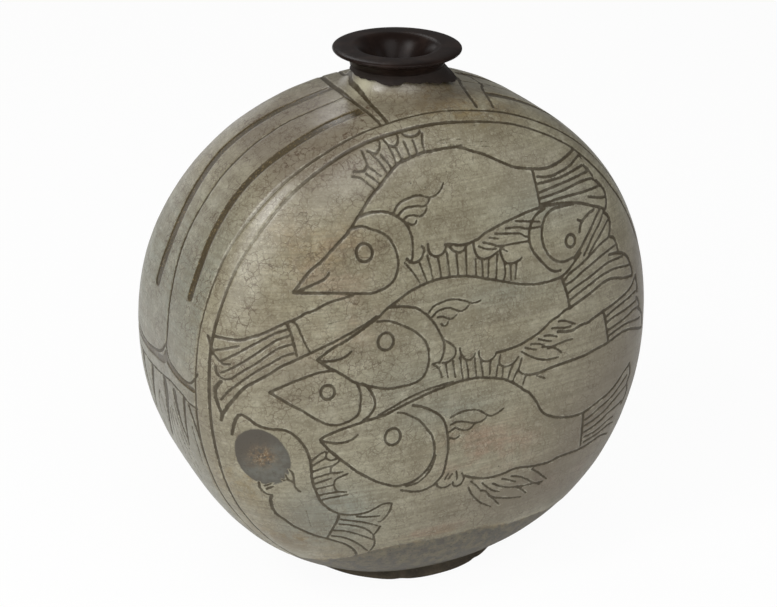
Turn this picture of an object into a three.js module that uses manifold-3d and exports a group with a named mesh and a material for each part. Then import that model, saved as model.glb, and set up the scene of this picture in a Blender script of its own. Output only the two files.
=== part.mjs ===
// A flat-sided stoneware flask in the Korean buncheong manner. A thrown globe is paddled flat in front
// and behind, stands on a luted foot ring, and carries the stub of its broken neck, round which a putty
// collar and a turned, lacquered mouth were built up again.
// Millimetres, +Z up, the front face towards -Y, the origin under the middle of the foot.

import * as THREE from 'three';
import { ParametricGeometry } from 'three/addons/geometries/ParametricGeometry.js';
import { mergeVertices } from 'three/addons/utils/BufferGeometryUtils.js';
import Module from 'manifold-3d';

// What two fitted pieces keep between them
const JOINT_GAP = 0.3;

// The globe seen from the front. An outline exponent of 2 is an ellipse, and more is squarer.
const WAIST_HALF_WIDTH = 96.5;
const CROWN_RISE = 95;
const BASE_DROP = 97;
const CROWN_FULLNESS = 2.1;
const BASE_FULLNESS = 2.14;

// The globe seen from the side, where it is paddled flat and leans in towards the crown
const WAIST_HALF_DEPTH = 60.4;
const DEPTH_TAPER = 14.9;
const PADDLED_SQUARENESS = 3.46;
const CROWN_SQUARENESS = 4.05;
const BODY_WALL = 6;

// The shallow dish ground into the lower left of the front face, where another pot had stuck to it
const SCAR_ACROSS = -76;
const SCAR_BELOW_WAIST = 18;
const SCAR_DEPTH = 1.5;
const GRINDER_CURVE_RADIUS = 75;
const GRINDER_RADIUS = 22;

// The foot ring, as wide as the globe where it's cut off, and a little wider on the ground
const FOOT_RADIUS = 44;
const FOOT_HEIGHT = 6;
const FOOT_WALL = 7.5;
const FOOT_SPREAD = 0.7;
const FOOT_EDGE_RADIUS = 0.7;

// The root of the first neck, where the shoulder runs up into it
const ROOT_RADIUS = 16.4;
const ROOT_RISE = 4.8;
const ROOT_SPREAD = 9.4;
const ROOT_SINK = 3.2;
const ROOT_HOLLOW = 1.9;
const ROOT_HOLLOW_SINK = 0.8;

// The stub of the first neck, and the uneven break round its top
const STUB_RADIUS = 14.7;
const STUB_WALL = 4;
const STUB_RISE = 4.4;
const BREAK_WAVES = [
  { count: 3, height: 0.8, start: 0.6 },
  { count: 7, height: 0.4, start: 2.1 },
];

// The putty collar over the stub, with its uneven hem lapped over the root
const COLLAR_RISE = 6.6;
const COLLAR_STRAIGHT = 0.6;
const NECK_RADIUS = 17.2;
const HEM_RADIUS = 18.2;
const HEM_LAP = 1.1;
const HEM_WAVES = [
  { count: 1, height: 1.1, start: 5.3 },
  { count: 2, height: 0.5, start: 5.9 },
  { count: 5, height: 0.25, start: 2.9 },
  { count: 9, height: 0.2, start: 0.4 },
];

// The mouth, turned in wood and lacquered, with a spigot that plugs into the stub
const MOUTH_RADIUS = 23.5;
const MOUTH_RISE = 13.25;
const LIP_EDGE_RADIUS = 0.65;
const LIP_FALL = 1;
const LIP_ROLL = 4.5;
const LIP_UNDERCUT = 1.3;
const LIP_UNDERCUT_SINK = 3;
const BRINK_RADIUS = 16.5;
const BRINK_ROLL = 4.3;
const THROAT_RADIUS = 8.2;
const THROAT_DEPTH = 10;
const NECK_STRAIGHT = 0.3;
const SPIGOT_LENGTH = 11;

// How finely the surfaces are divided
const GLOBE_TURN_STEPS = 72;
const GLOBE_FACE_STEPS = 36;
const CAVITY_TURN_STEPS = 40;
const CAVITY_FACE_STEPS = 20;
const ROUND_STEPS = 48;
const CURVE_STEPS = 4;

// Sizes that follow. The globe is cut off for the foot where it is as wide as the ring.
const FOOT_SHARE = FOOT_RADIUS / WAIST_HALF_WIDTH;
const WAIST_HEIGHT = FOOT_HEIGHT + BASE_DROP * (1 - FOOT_SHARE ** BASE_FULLNESS) ** (1 / BASE_FULLNESS);
const CROWN_HEIGHT = WAIST_HEIGHT + CROWN_RISE;
const MOUTH_HEIGHT = CROWN_HEIGHT + MOUTH_RISE;
const COLLAR_TOP = CROWN_HEIGHT + COLLAR_RISE;
const STUB_FOOT = CROWN_HEIGHT - BODY_WALL;
const STUB_TOP = CROWN_HEIGHT + STUB_RISE;
const STUB_BORE = STUB_RADIUS - STUB_WALL;
const SPIGOT_RADIUS = STUB_BORE - JOINT_GAP;
const CUTTER_SPAN = 4 * Math.max(WAIST_HALF_WIDTH, CROWN_HEIGHT);
const WELD = 1e-4;

const wasm = await Module();
wasm.setup();

/** The closed surface of a geometry as a solid that can be joined and cut. */
function solidOf(geometry) {
  const surface = new THREE.BufferGeometry();
  surface.setAttribute('position', geometry.getAttribute('position'));
  surface.setIndex(geometry.index);
  const welded = mergeVertices(surface, WELD);
  const corners = [];
  for (let i = 0; i < welded.index.count; i += 3) {
    const [a, b, c] = welded.index.array.subarray(i, i + 3);
    if (a !== b && b !== c && c !== a) corners.push(a, b, c);
  }
  return new wasm.Manifold(new wasm.Mesh({
    numProp: 3,
    vertProperties: welded.getAttribute('position').array,
    triVerts: new Uint32Array(corners),
  }));
}

/** A named mesh of a solid, with its own plain material. */
function meshOf(name, solid, color, roughness) {
  const { vertProperties, triVerts } = solid.getMesh();
  const geometry = new THREE.BufferGeometry();
  geometry.setAttribute('position', new THREE.BufferAttribute(vertProperties, 3));
  geometry.setIndex(new THREE.BufferAttribute(triVerts, 1));
  geometry.computeVertexNormals();
  const material = new THREE.MeshStandardMaterial({ color, roughness, metalness: 0 });
  const mesh = new THREE.Mesh(geometry, material);
  mesh.name = name;
  return mesh;
}

/** A profile of [radius, height] points, given from the bottom outside upwards, turned about +Z. */
function turned(profile, steps = ROUND_STEPS) {
  const points = profile.map(([radius, height]) => new THREE.Vector2(radius, height));
  return new THREE.LatheGeometry(points, steps).rotateX(Math.PI / 2);
}

/** The points of a curve between two [radius, height] points, bent towards a third. */
function bend(from, towards, to) {
  const ends = [from, towards, to].map(([radius, height]) => new THREE.Vector2(radius, height));
  return new THREE.QuadraticBezierCurve(...ends).getPoints(CURVE_STEPS).map(({ x, y }) => [x, y]);
}

/** The points of an arc round [radius, height], from one angle to another, in radians from outwards. */
function arc([radius, height], size, start, end) {
  return Array.from({ length: CURVE_STEPS + 1 }, (_, i) => {
    const angle = start + ((end - start) * i) / CURVE_STEPS;
    return [radius + size * Math.cos(angle), height + size * Math.sin(angle)];
  });
}

/** The sum of some waves at an angle round the axis. */
function waveAt(waves, angle) {
  return waves.reduce((sum, { count, height, start }) => sum + height * Math.sin(count * angle + start), 0);
}

/** Everything below a height. */
function below(height) {
  const block = new THREE.BoxGeometry(CUTTER_SPAN, CUTTER_SPAN, CUTTER_SPAN);
  return solidOf(block.translate(0, 0, height - CUTTER_SPAN / 2));
}

/** How far the outline of the globe lies from the middle of its waist, at an angle from the right. */
function outlineRadius(angle, grow) {
  const upper = Math.sin(angle) > 0;
  const rise = (upper ? CROWN_RISE : BASE_DROP) + grow;
  const fullness = upper ? CROWN_FULLNESS : BASE_FULLNESS;
  const across = Math.abs(Math.cos(angle)) / (WAIST_HALF_WIDTH + grow);
  const along = Math.abs(Math.sin(angle)) / rise;
  return (across ** fullness + along ** fullness) ** (-1 / fullness);
}

/** How far a face stands from the middle plane, at a share of the outline's radius and a height. */
function faceDepth(share, height, grow) {
  const rise = (height - WAIST_HEIGHT) / CROWN_RISE;
  const depth = WAIST_HALF_DEPTH - DEPTH_TAPER * rise + grow;
  const squareness = PADDLED_SQUARENESS + (CROWN_SQUARENESS - PADDLED_SQUARENESS) * rise;
  return depth * (1 - share ** squareness) ** (1 / squareness);
}

/** The point of the globe's surface at an angle round its outline and a share of the outline's radius. */
function globePoint(angle, share, side, grow, point) {
  const radius = share * outlineRadius(angle, grow);
  const height = WAIST_HEIGHT + radius * Math.sin(angle);
  return point.set(radius * Math.cos(angle), side * faceDepth(share, height, grow), height);
}

/** The whole paddled globe, grown outwards or, below nought, shrunk inwards. */
function globe(grow, turnSteps, faceSteps) {
  const surface = (u, v, point) => {
    const tilt = Math.PI * v;
    const inwards = Math.abs(Math.cos(tilt)) ** PADDLED_SQUARENESS;
    const outwards = Math.sin(tilt) ** PADDLED_SQUARENESS;
    const share = Math.min(1, Math.sin(tilt) * (inwards + outwards) ** (-1 / PADDLED_SQUARENESS));
    globePoint(2 * Math.PI * u, share, v < 0.5 ? 1 : -1, grow, point);
  };
  return solidOf(new ParametricGeometry(surface, turnSteps, faceSteps));
}

/** The grinding tool, a shallow round lens laid square to the front face at the scar. */
function scarCutter() {
  const place = (across, height) => {
    const angle = Math.atan2(height - WAIST_HEIGHT, across);
    const share = Math.hypot(across, height - WAIST_HEIGHT) / outlineRadius(angle, 0);
    return globePoint(angle, share, -1, 0, new THREE.Vector3());
  };
  const scarHeight = WAIST_HEIGHT - SCAR_BELOW_WAIST;
  const centre = place(SCAR_ACROSS, scarHeight);
  const sideways = place(SCAR_ACROSS + 1, scarHeight).sub(centre);
  const upwards = place(SCAR_ACROSS, scarHeight + 1).sub(centre);
  const outwards = sideways.cross(upwards).normalize();
  const middle = [0, GRINDER_CURVE_RADIUS - SCAR_DEPTH];
  const span = Math.asin(GRINDER_RADIUS / GRINDER_CURVE_RADIUS);
  const belly = arc(middle, GRINDER_CURVE_RADIUS, -Math.PI / 2, span - Math.PI / 2);
  const tool = turned([...belly, [0, belly.at(-1)[1]]], ROUND_STEPS / 2);
  tool.applyQuaternion(new THREE.Quaternion().setFromUnitVectors(new THREE.Vector3(0, 0, 1), outwards));
  return solidOf(tool.translate(centre.x, centre.y, centre.z));
}

/** The root of the first neck, or the room that it takes up when grown. */
function neckRoot(grow) {
  const inside = CROWN_HEIGHT - BODY_WALL;
  const radius = ROOT_RADIUS + grow;
  const top = CROWN_HEIGHT + ROOT_RISE + grow;
  const hollow = [radius + ROOT_HOLLOW, CROWN_HEIGHT - ROOT_HOLLOW_SINK + grow];
  const spread = [radius + ROOT_SPREAD, CROWN_HEIGHT - ROOT_SINK + grow];
  return solidOf(turned([[0, inside], [spread[0], inside], ...bend(spread, hollow, [radius, top]), [0, top]]));
}

/** The globe and the root of its neck, hollow, cut flat below, bored for the stub and ground at the scar. */
function flaskBody() {
  const cavity = globe(-BODY_WALL, CAVITY_TURN_STEPS, CAVITY_FACE_STEPS);
  const bore = turned([
    [0, STUB_FOOT - BODY_WALL],
    [STUB_RADIUS + JOINT_GAP, STUB_FOOT - BODY_WALL],
    [STUB_RADIUS + JOINT_GAP, COLLAR_TOP],
    [0, COLLAR_TOP],
  ]);
  return globe(0, GLOBE_TURN_STEPS, GLOBE_FACE_STEPS)
    .add(neckRoot(0))
    .subtract(below(FOOT_HEIGHT))
    .subtract(cavity.subtract(below(FOOT_HEIGHT + BODY_WALL)))
    .subtract(solidOf(bore))
    .subtract(scarCutter());
}

/** The foot ring, which flares a little towards the ground and has its lower edges rounded. */
function footRing() {
  const top = FOOT_HEIGHT - JOINT_GAP;
  const inside = FOOT_RADIUS - FOOT_WALL;
  const round = FOOT_EDGE_RADIUS;
  const ground = FOOT_RADIUS + FOOT_SPREAD - round;
  return solidOf(turned([
    ...arc([inside + round, round], round, Math.PI, 1.5 * Math.PI),
    ...arc([ground, round], round, 1.5 * Math.PI, 2 * Math.PI),
    [FOOT_RADIUS - FOOT_SPREAD, top],
    [inside, top],
    [inside, round],
  ]));
}

/** The stub of the first neck, or the room that it takes up when grown. */
function neckStub(grow) {
  const foot = STUB_FOOT - grow;
  const top = STUB_TOP + grow;
  const tube = turned([
    [STUB_BORE - grow, foot],
    [STUB_RADIUS + grow, foot],
    [STUB_RADIUS + grow, top],
    [STUB_BORE - grow, top],
    [STUB_BORE - grow, foot],
  ]);
  const place = tube.getAttribute('position');
  for (let i = 0; i < place.count; i += 1) {
    if (place.getZ(i) > CROWN_HEIGHT) {
      const angle = Math.atan2(place.getY(i), place.getX(i));
      place.setZ(i, place.getZ(i) + waveAt(BREAK_WAVES, angle));
    }
  }
  return solidOf(tube);
}

/** The putty collar, laid over the stub and down over the root to a wavy hem. */
function neckCollar() {
  const hem = CROWN_HEIGHT + ROOT_RISE - HEM_LAP;
  const waist = COLLAR_TOP - COLLAR_STRAIGHT;
  const bore = SPIGOT_RADIUS + JOINT_GAP;
  const sleeve = turned([
    [bore, hem],
    ...bend([HEM_RADIUS, hem], [NECK_RADIUS, hem + HEM_LAP], [NECK_RADIUS, waist]),
    [NECK_RADIUS, COLLAR_TOP],
    [bore, COLLAR_TOP],
    [bore, hem],
  ]);
  const place = sleeve.getAttribute('position');
  for (let i = 0; i < place.count; i += 1) {
    const share = (COLLAR_TOP - place.getZ(i)) / (COLLAR_TOP - hem);
    const angle = Math.atan2(place.getY(i), place.getX(i));
    place.setZ(i, place.getZ(i) + share * waveAt(HEM_WAVES, angle));
  }
  return solidOf(sleeve)
    .subtract(neckRoot(JOINT_GAP))
    .subtract(neckStub(JOINT_GAP));
}

/** The turned mouth: a broad lip that rolls over at its edge, a cup down to the throat, and the spigot below. */
function mouthRim() {
  const seat = COLLAR_TOP + JOINT_GAP;
  const edge = [MOUTH_RADIUS - LIP_EDGE_RADIUS, MOUTH_HEIGHT - LIP_FALL];
  const undercut = [NECK_RADIUS + LIP_UNDERCUT, MOUTH_HEIGHT - LIP_UNDERCUT_SINK];
  const corner = [MOUTH_RADIUS, MOUTH_HEIGHT];
  const crest = [MOUTH_RADIUS - LIP_ROLL, MOUTH_HEIGHT];
  const brink = [BRINK_RADIUS, MOUTH_HEIGHT];
  const throat = [THROAT_RADIUS, MOUTH_HEIGHT - THROAT_DEPTH];
  const foot = seat - SPIGOT_LENGTH;
  return solidOf(turned([
    [THROAT_RADIUS, foot],
    [SPIGOT_RADIUS, foot],
    [SPIGOT_RADIUS, seat],
    [NECK_RADIUS, seat],
    ...bend([NECK_RADIUS, seat + NECK_STRAIGHT], undercut, [edge[0], edge[1] - LIP_EDGE_RADIUS]),
    ...arc(edge, LIP_EDGE_RADIUS, -Math.PI / 2, 0).slice(1),
    ...bend([MOUTH_RADIUS, edge[1]], corner, crest).slice(1),
    ...bend(brink, [BRINK_RADIUS - BRINK_ROLL, MOUTH_HEIGHT], throat),
    [THROAT_RADIUS, foot],
  ]));
}

const flask = new THREE.Group();
flask.name = 'flask';
flask.add(meshOf('flask_body', flaskBody(), 0xb0a898, 0.5));
flask.add(meshOf('foot_ring', footRing(), 0x4d4037, 0.8));
flask.add(meshOf('neck_stub', neckStub(0), 0x6d6156, 0.85));
flask.add(meshOf('neck_collar', neckCollar(), 0x2b211b, 0.6));
flask.add(meshOf('mouth_rim', mouthRim(), 0x1b1512, 0.2));

export default flask;
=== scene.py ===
"""The looks of a flat-sided slipped stoneware flask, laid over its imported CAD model.

The globe gets its incised fish, its glaze and its fire marks, and the foot, the putty collar and the
lacquered mouth get finer meshes of their own. Shapes are worked out in millimetres, in the CAD model's
frame, and become metres when their mesh is made.
"""

import logging
import math
from dataclasses import dataclass, field
from enum import Enum

import bpy
import numpy as np
from mathutils import Matrix, Vector


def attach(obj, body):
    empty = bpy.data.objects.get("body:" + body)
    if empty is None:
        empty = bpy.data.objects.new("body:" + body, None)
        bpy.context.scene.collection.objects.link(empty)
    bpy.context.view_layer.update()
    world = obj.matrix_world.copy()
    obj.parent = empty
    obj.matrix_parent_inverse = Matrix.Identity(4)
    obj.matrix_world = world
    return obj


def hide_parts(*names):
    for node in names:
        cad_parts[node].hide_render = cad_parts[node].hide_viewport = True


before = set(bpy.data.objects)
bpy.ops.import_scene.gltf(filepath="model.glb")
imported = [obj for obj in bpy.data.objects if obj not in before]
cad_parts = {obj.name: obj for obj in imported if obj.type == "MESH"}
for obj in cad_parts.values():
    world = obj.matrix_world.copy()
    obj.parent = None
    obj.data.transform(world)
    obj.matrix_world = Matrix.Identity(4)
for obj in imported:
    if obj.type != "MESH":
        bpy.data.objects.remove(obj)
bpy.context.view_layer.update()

LOG = logging.getLogger("flask")
MM = 0.001
WHOLE_BODY = "root"
LINE_REACH = 2.5
SCALE_END = 9.0

Place = tuple[float, float]
Waves = tuple[tuple[float, float, float], ...]
Bend = float | np.ndarray


class Slot(str, Enum):
    """The record's finishes."""

    STONEWARE = "slipped_stoneware"
    FOOT = "foot_clay"
    STUB = "bare_clay"
    PUTTY = "lacquer_putty"
    WOOD = "lacquered_wood"


class Weight(Enum):
    """How wide the knife's line is, in millimetres."""

    OUTLINE = 1.2
    FINE = 1.0
    SCRATCH = 0.3


class Wall(Enum):
    """Which of the two side walls a line is on."""

    BOTH = 0
    LEFT = 1
    RIGHT = 2


# Drawing


@dataclass(frozen=True)
class Sketch:
    """One fish, or a part of one. Points are millimetres across and up, and a slash starts a new line."""

    outline: str
    fine: str
    eyes: tuple[tuple[float, float, float], ...] = ()


TOP_FISH = Sketch(
    outline="""
    -61,136.3 -55,142.5 -50.5,145.5 -45,150 -40,154 -35.5,158.8 -30,164.5 -26.3,167.3 -22.5,170.5
    -18.5,173.3 -15,174.3 -10,175.4 -5,175.8 4.5,175.8 11,173.5 15,172 20,169.3 25.5,166.5 29.5,165.3
    33.5,164.3 40,163.3 46,163.8 56,165.5
    / -60.5,136 -55,138 -50,139.8 -48.3,141.5
    / -61,136 -50,134.9 -43,134 -35,132.8 -32,133 -29,133.8 -26,135.5 -24.3,138 -23.3,141.5 -23.5,145
    -24.5,148 -26,150.8 -29,153 -32,154.3 -34.5,155.4 -37.5,155.3 -40,154.5
    / -35,158.8 -32,159.4 -28.5,159.5 -25.5,159 -23,157.8 -20,155.5 -18.3,153 -17.4,150 -17.2,147.5
    -17.5,144.5 -18.1,141.8
    / -5,145 -2.5,144.8 0,144 3,143.8 6,144.3 8.5,145 11,146.3 15,147.5 20,148.8 25,149.8 30,150.7
    35,151 40,151 45,150.5 49,149.8 53,148.8 57,147.3 60,146 63,144.8 65.3,143.3
    / 33.7,164 34,161 34.5,156 34.9,151.3
    / 59,159.5 61,157.5 62.3,155.5
    / 63.8,153.3 66.3,150.8 67.3,148.8 67.5,146.8 66.8,144.5 65.5,143
    """,
    fine="""
    -23,158 -21.5,160.3 -19,161.8 -15,162.8 -12.5,162.8 -10,161.9 -8,161.6 -5.5,162.5 -3.8,164 -2.9,165.5
    / -21.5,157.3 -19.5,158.8 -17.5,159.5 -14,159.5 -11.5,159 -9.8,160 -8.8,161.5
    / -19.5,155.8 -17.5,156.8 -15,156.5 -13.5,156 -11.5,156.8 -10.5,158.3
    / -18.3,154.5 -16.8,153.6 -15.3,154 -14.9,154.8
    / -35,171 -32,170.1 -28.5,166.8 / -34,172.4 -30.5,172.3 -29.3,173.5 / -30,171.5 -28,169.8 -26,168
    / -28.8,173.5 -27,172 -25,170.3 / -29.3,177.8 -29,175.5 -28.8,174 / -26.5,176.8 -24.5,174.5 -22.8,171.3
    / -23.3,176.5 -22,174.3 -20.5,172 / -19.8,178.5 -19.1,176 -18.8,173 / -17.5,178.3 -16.9,176 -16,174
    / -14,179.5 -13.5,177 -13.3,175.3 / -10.7,179.5 -10.4,177.5 -10.4,175.5 / -6.5,181 -7.5,178.5 -7.4,176
    / -27.5,177.8 -25,177 -23,178.5 -22.3,180 / -20.8,180.5 -19.5,178.8 -17.5,178.5 -15.8,180 -15.5,181.3
    / -13.5,181.5 -12.3,180.8 -10,180.5 -8,181 -7,181.8
    / 35.3,161.4 39,160.6 43,160.5 51,161.5 55,162.6 58,163 58.8,162
    / 35.3,159 45,159.1 55,159.9 58,160 / 35.3,156.1 45,157 55,157.6 60,157.6
    / 35.3,154.1 45,154.6 53,155.4 57.5,155.4 61.5,154.8 63.5,153.3
    / 35.3,152 45,152.4 55,152 65,151.5 66.5,150.8 / 57.8,149.8 61,148.8 65,147.5 66.8,147.3
    """,
    eyes=((-35.2, 146.8, 2.9),),
)

LEAF_FIN = Sketch(
    outline="",
    fine="""
    8,142.3 11,140.8 15,140 / 10,143.3 13.5,142 17,140.8 25,140.6 29,140.3 / 12.5,144.5 16.5,143.5
    / 15,145.5 19,144.8 25,143.8 27,142.5 29,141.8 / 19.5,146.5 25,146 28.5,144.8 34.5,144.5
    / 24,148.3 28,147.5 34,146.3 / 17.3,140 19.5,138.3
    """,
)

RIGHT_FISH = Sketch(
    outline="""
    -86.5,120 -80,120.1 -76.5,121.3 -73,122.5 -69,124.3 -65,126 -61,127.3 -58,128.8 -55,129.5 -50,131.5
    -45,132.4 -41,133
    / -86.8,92 -85,96 -82.5,100 -80,103.3 -77,105.5 -71,109 -68,111 -62,113.3 -58,114.8 -50,117.5
    -45,119.3 -40,121.3 -37,122.5 -33,124.5
    / -64.5,125.8 -63.5,122 -62.8,117.5 -62.3,114.5
    / -86.5,104.5 -88,102 -88.4,99 -87.8,95 -87,92 -87.3,89.5
    / 36.5,150.3 33,149 30.8,147 29.5,144.5 28.9,141 29.5,138 30.8,135.5 33,132.7 35.5,129.8 37.5,128
    39.5,127.3 41.5,127.3
    / 50,149.3 43,149.6 39,149 36.5,147.3 35,144.5 34.4,141 34.8,138 35.5,136 37,133.5 39.5,131.3 43,130.1
    47,130.6
    / 51.4,139 52,141 54,143 57,144.4 59.5,144.9
    / 48,130.5 51,133 54,136 57,139 60,142 63,144.5
    """,
    fine="""
    -63,126.5 -61.5,125.5 -60.3,122 -59,118 -57.8,115.3
    / -80.5,118 -83.5,116.8 -88,114.8 / -65,123.8 -69,122.5 -73,120.5 -76.5,118.5 -81,115.5 -85.8,112
    / -64.5,121.5 -68,120.5 -71,118.8 -75,116 -79,113 -86.5,107.5
    / -64,118.5 -68,117.5 -72,115 -76,112 -80,109.3 -84,105.8
    / -63.5,115.3 -67,114.5 -71,112.3 -75,110 -79,107 -83,103.3 -85,101 -87,97.5
    / -88.3,119.5 -87.8,115.5 / -88,114.5 -86.8,112.5 -85.5,111 -83.5,111.3
    / -87.5,109.5 -87.3,107 -85.8,105.5 -83.5,106 / 51,143.4 53.3,142.3
    """,
    eyes=((46.8, 136.9, 2.1),),
)

MIDDLE_FISH = Sketch(
    outline="""
    -55.5,112.3 -50,115.5 -45,117.5 -41,119.5 -37,121.5 -32,124.3 -28.5,126.8 -25,128.5 -20,131 -15,132.5
    -10,133.4 -5,133.5 0,133 5,132 8.5,130.8 12.5,129.5 17,128 22.5,126.1 30,124.5 35,124.3 39,124.5
    42,125 45.5,127 48,129 51,131.5
    / -55.3,112 -53,111.4 -49.5,111.2 -46,111.8 -43,113.5
    / -55.3,112 -52.5,109.5 -49.5,107.5 -46,104.8 -43,102.3 -40,100.8 -36.5,99.5 -33,98.2 -30,97.5
    -26,97.4 -21.5,97.5 -18,98.5 -15.8,100.5 -14.6,103.5 -14.1,106.5 -14.4,110 -15.5,112.5 -17.5,115
    -20,117.3 -24,119.8 -27,121.4 -30,122.3 -33,122.5
    / -28,126.8 -25,126.6 -22,126 -18,124.8 -15,122.5 -13,120.3 -11,117.5 -9.5,114.5 -8.3,111.5 -7.9,109
    -8.3,106.5 -9.5,104 -10.3,103.3
    / 12.8,102.3 16,102.4 20,102.8 23,103.3 26,104.3 30,105.8 33,107.3 36,109.3 40,110.8 42,112 45,112.8
    / 41.8,124.5 42.8,121 43.8,117.5 44.7,112.3
    / 44.7,112.5 50,114.3 55,116 60,117.8 64,118.5 68,117.8 72,116.5 77.5,115.5
    / 64.5,142.8 66.5,141 67.3,138.8 66.8,136 65.5,133.5 / 66.5,133.5 68.5,132.3 69.8,129 70,127
    / 65,127.3 68,127 70,126.5 73,125.3 75.5,123 77,120 77.8,117.5 77.8,115.5
    """,
    fine="""
    -13,122.5 -11,124.3 -8,125 -5,125.4 -2,125 1,124 3.5,122.8 5.5,122.4 7.5,122.9
    / -12,120.5 -10,122 -7.5,122.6 -5,122.5 -3,121.5 -1,120.5 1,120.8 2.5,122
    / -10,120 -8,119.9 -6,118.8 -4.3,118.4 -2.5,119.5 / -8.8,117.3 -7.8,116.4 -6.5,116.5 -6,117.5
    / -7.9,111.3 -5,109 -3.5,106.8 -4,104.5 -6,103.1 -8.5,102.9 -11,103.4 -13,103.4
    / -1.8,107 -1.5,105 0,102.5 1.8,101.8 3.5,102.5 4.3,104
    / 5.8,104.3 5.8,102.5 7,100.5 9,99.8 11.5,100.5 12.8,102
    / 14.3,100.8 14,98 15.5,96.5 18,96.3 20,97 22,99
    / 52.5,130.3 58,136.5 62,140 64.5,143 / 55,130.3 58,133 63,137 66.5,139.5
    / 43,123.5 46,125.5 50,127 55,129.5 61,132.3 65.5,133.5
    / 43,121.3 47,122.5 51,124.5 55,126 60,127.8 66,129.3 69,129.8
    / 44.5,118.3 48,119.8 55,122 62,124.3 66,124.8 72.5,124.5
    / 45,115.5 50,117.5 55,119.3 60,120.8 65,121.5 69,121.3 76,120
    """,
    eyes=((-30.3, 114.9, 2.95),),
)

MIDDLE_COMB = Sketch(
    outline="""
    -20,142.5 -18.5,141 -16.5,140.8 -14.5,141.8 -13.5,143.5 -13.2,145 -14,146
    / -11.5,146.3 -11.5,144 -10.5,142.3 -8.5,141.5 -6.5,142 -5,143.5 -4.5,145
    / -3.5,144.3 -2,142.5 0,141.5 2,141.8 3.5,143.5 / 6,143.5 6.5,140.5 7.8,138.3 10,137.4 13,137.8 15.5,139
    / 16.5,139.5 17.3,136.5 18.5,134.5 21,133.8 24,134.3 25.3,135
    """,
    fine="""
    -21,141.3 -18.5,138 -15.8,133.5 / -15.3,140.3 -14.3,137 -13.2,133.5 / -12.3,142.5 -11.3,138 -10.8,134
    / -8.3,141 -7.8,138 -7.5,134 / -4.6,142.5 -4.1,133.8 / -0.9,142 -0.8,133.5 / 2.9,142 2.6,133.3
    / 6.5,138 6.3,132.5 / 9,137.3 9,131.5 / 11.8,137.3 11,130.5 / 15.3,138 14.3,130.5 14,129
    / 18,134.5 18,130.5 17.3,128.5 / 20.5,133.8 20.3,128 / 23,133.8 22.5,130.3 22,128
    """,
)

SMALL_FISH = Sketch(
    outline="""
    -72.3,102 -69,103.4 -65,105 -60,106.5 -56,107.5 -53,107.7 -49.5,107.5
    / -72.3,101.8 -69,99.3 -66,97 -62,94.3 -58,91 -55,89 -53,88 -50,87.5 -47,87.9 -44,89 -42,90.8 -41.3,94
    -40.9,97 -41.3,99.5 -42.3,102
    / -40,101.3 -38.5,100 -37,97.5 -36,95 -35.8,93 -36.5,91 -38.5,88.8 -40.5,87.8
    / 39,104.8 43,103.9 46,103.8 49,104.8 53,105 55,105.8 60.5,107.3 65,108.3 70,109.5 74,110.5 77,111.8
    80,114.5
    / 25,91 30,90.8 35,91.5 40,92 50,92.5 55,93.3 63,94.4 67,95.3 71,95.8 75,95.3 79,93.8 82,92.3 85.5,90.8
    / 60.4,107.5 61.3,104 62,100 62.9,94.5
    / 80,114.5 81,110.5 80.8,108 / 80,106 82,103.5 82.5,101.5 / 81.5,101 83.5,99 85.3,96 85.8,92
    """,
    fine="""
    62.5,105 67,106.5 72,107.5 79.5,108.6 / 62.5,102.5 66,103.5 71,104 79.5,104.8
    / 63,99.3 71,100.6 75,101.4 78,102 81.5,101.5 / 63,96.8 66,97.5 71,98.3 75,98.1 83,96.4
    / 39.5,108.6 42,108.3 46.8,106 / 36.5,106.6 39,106.3 42,105.6 45,105.5 / 33,104.5 36,104 38.5,103
    / 30.5,103.8 33,102.8 36,101.8 / 27.3,102.5 30.5,102 33,101 / 24.8,101.8 27,100.8 29.5,100
    / 32,100.5 35,99.8 38,98.5 40.5,96.3 / 34.5,99.3 38,99.9 42,100.4 45.5,100.5
    / 23.3,100.5 26,98.5 29.5,96.5 33,95.3 36,94.9 39,94.9 / 29.5,89.8 33,88
    """,
    eyes=((-52.8, 100.1, 2.45),),
)

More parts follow.
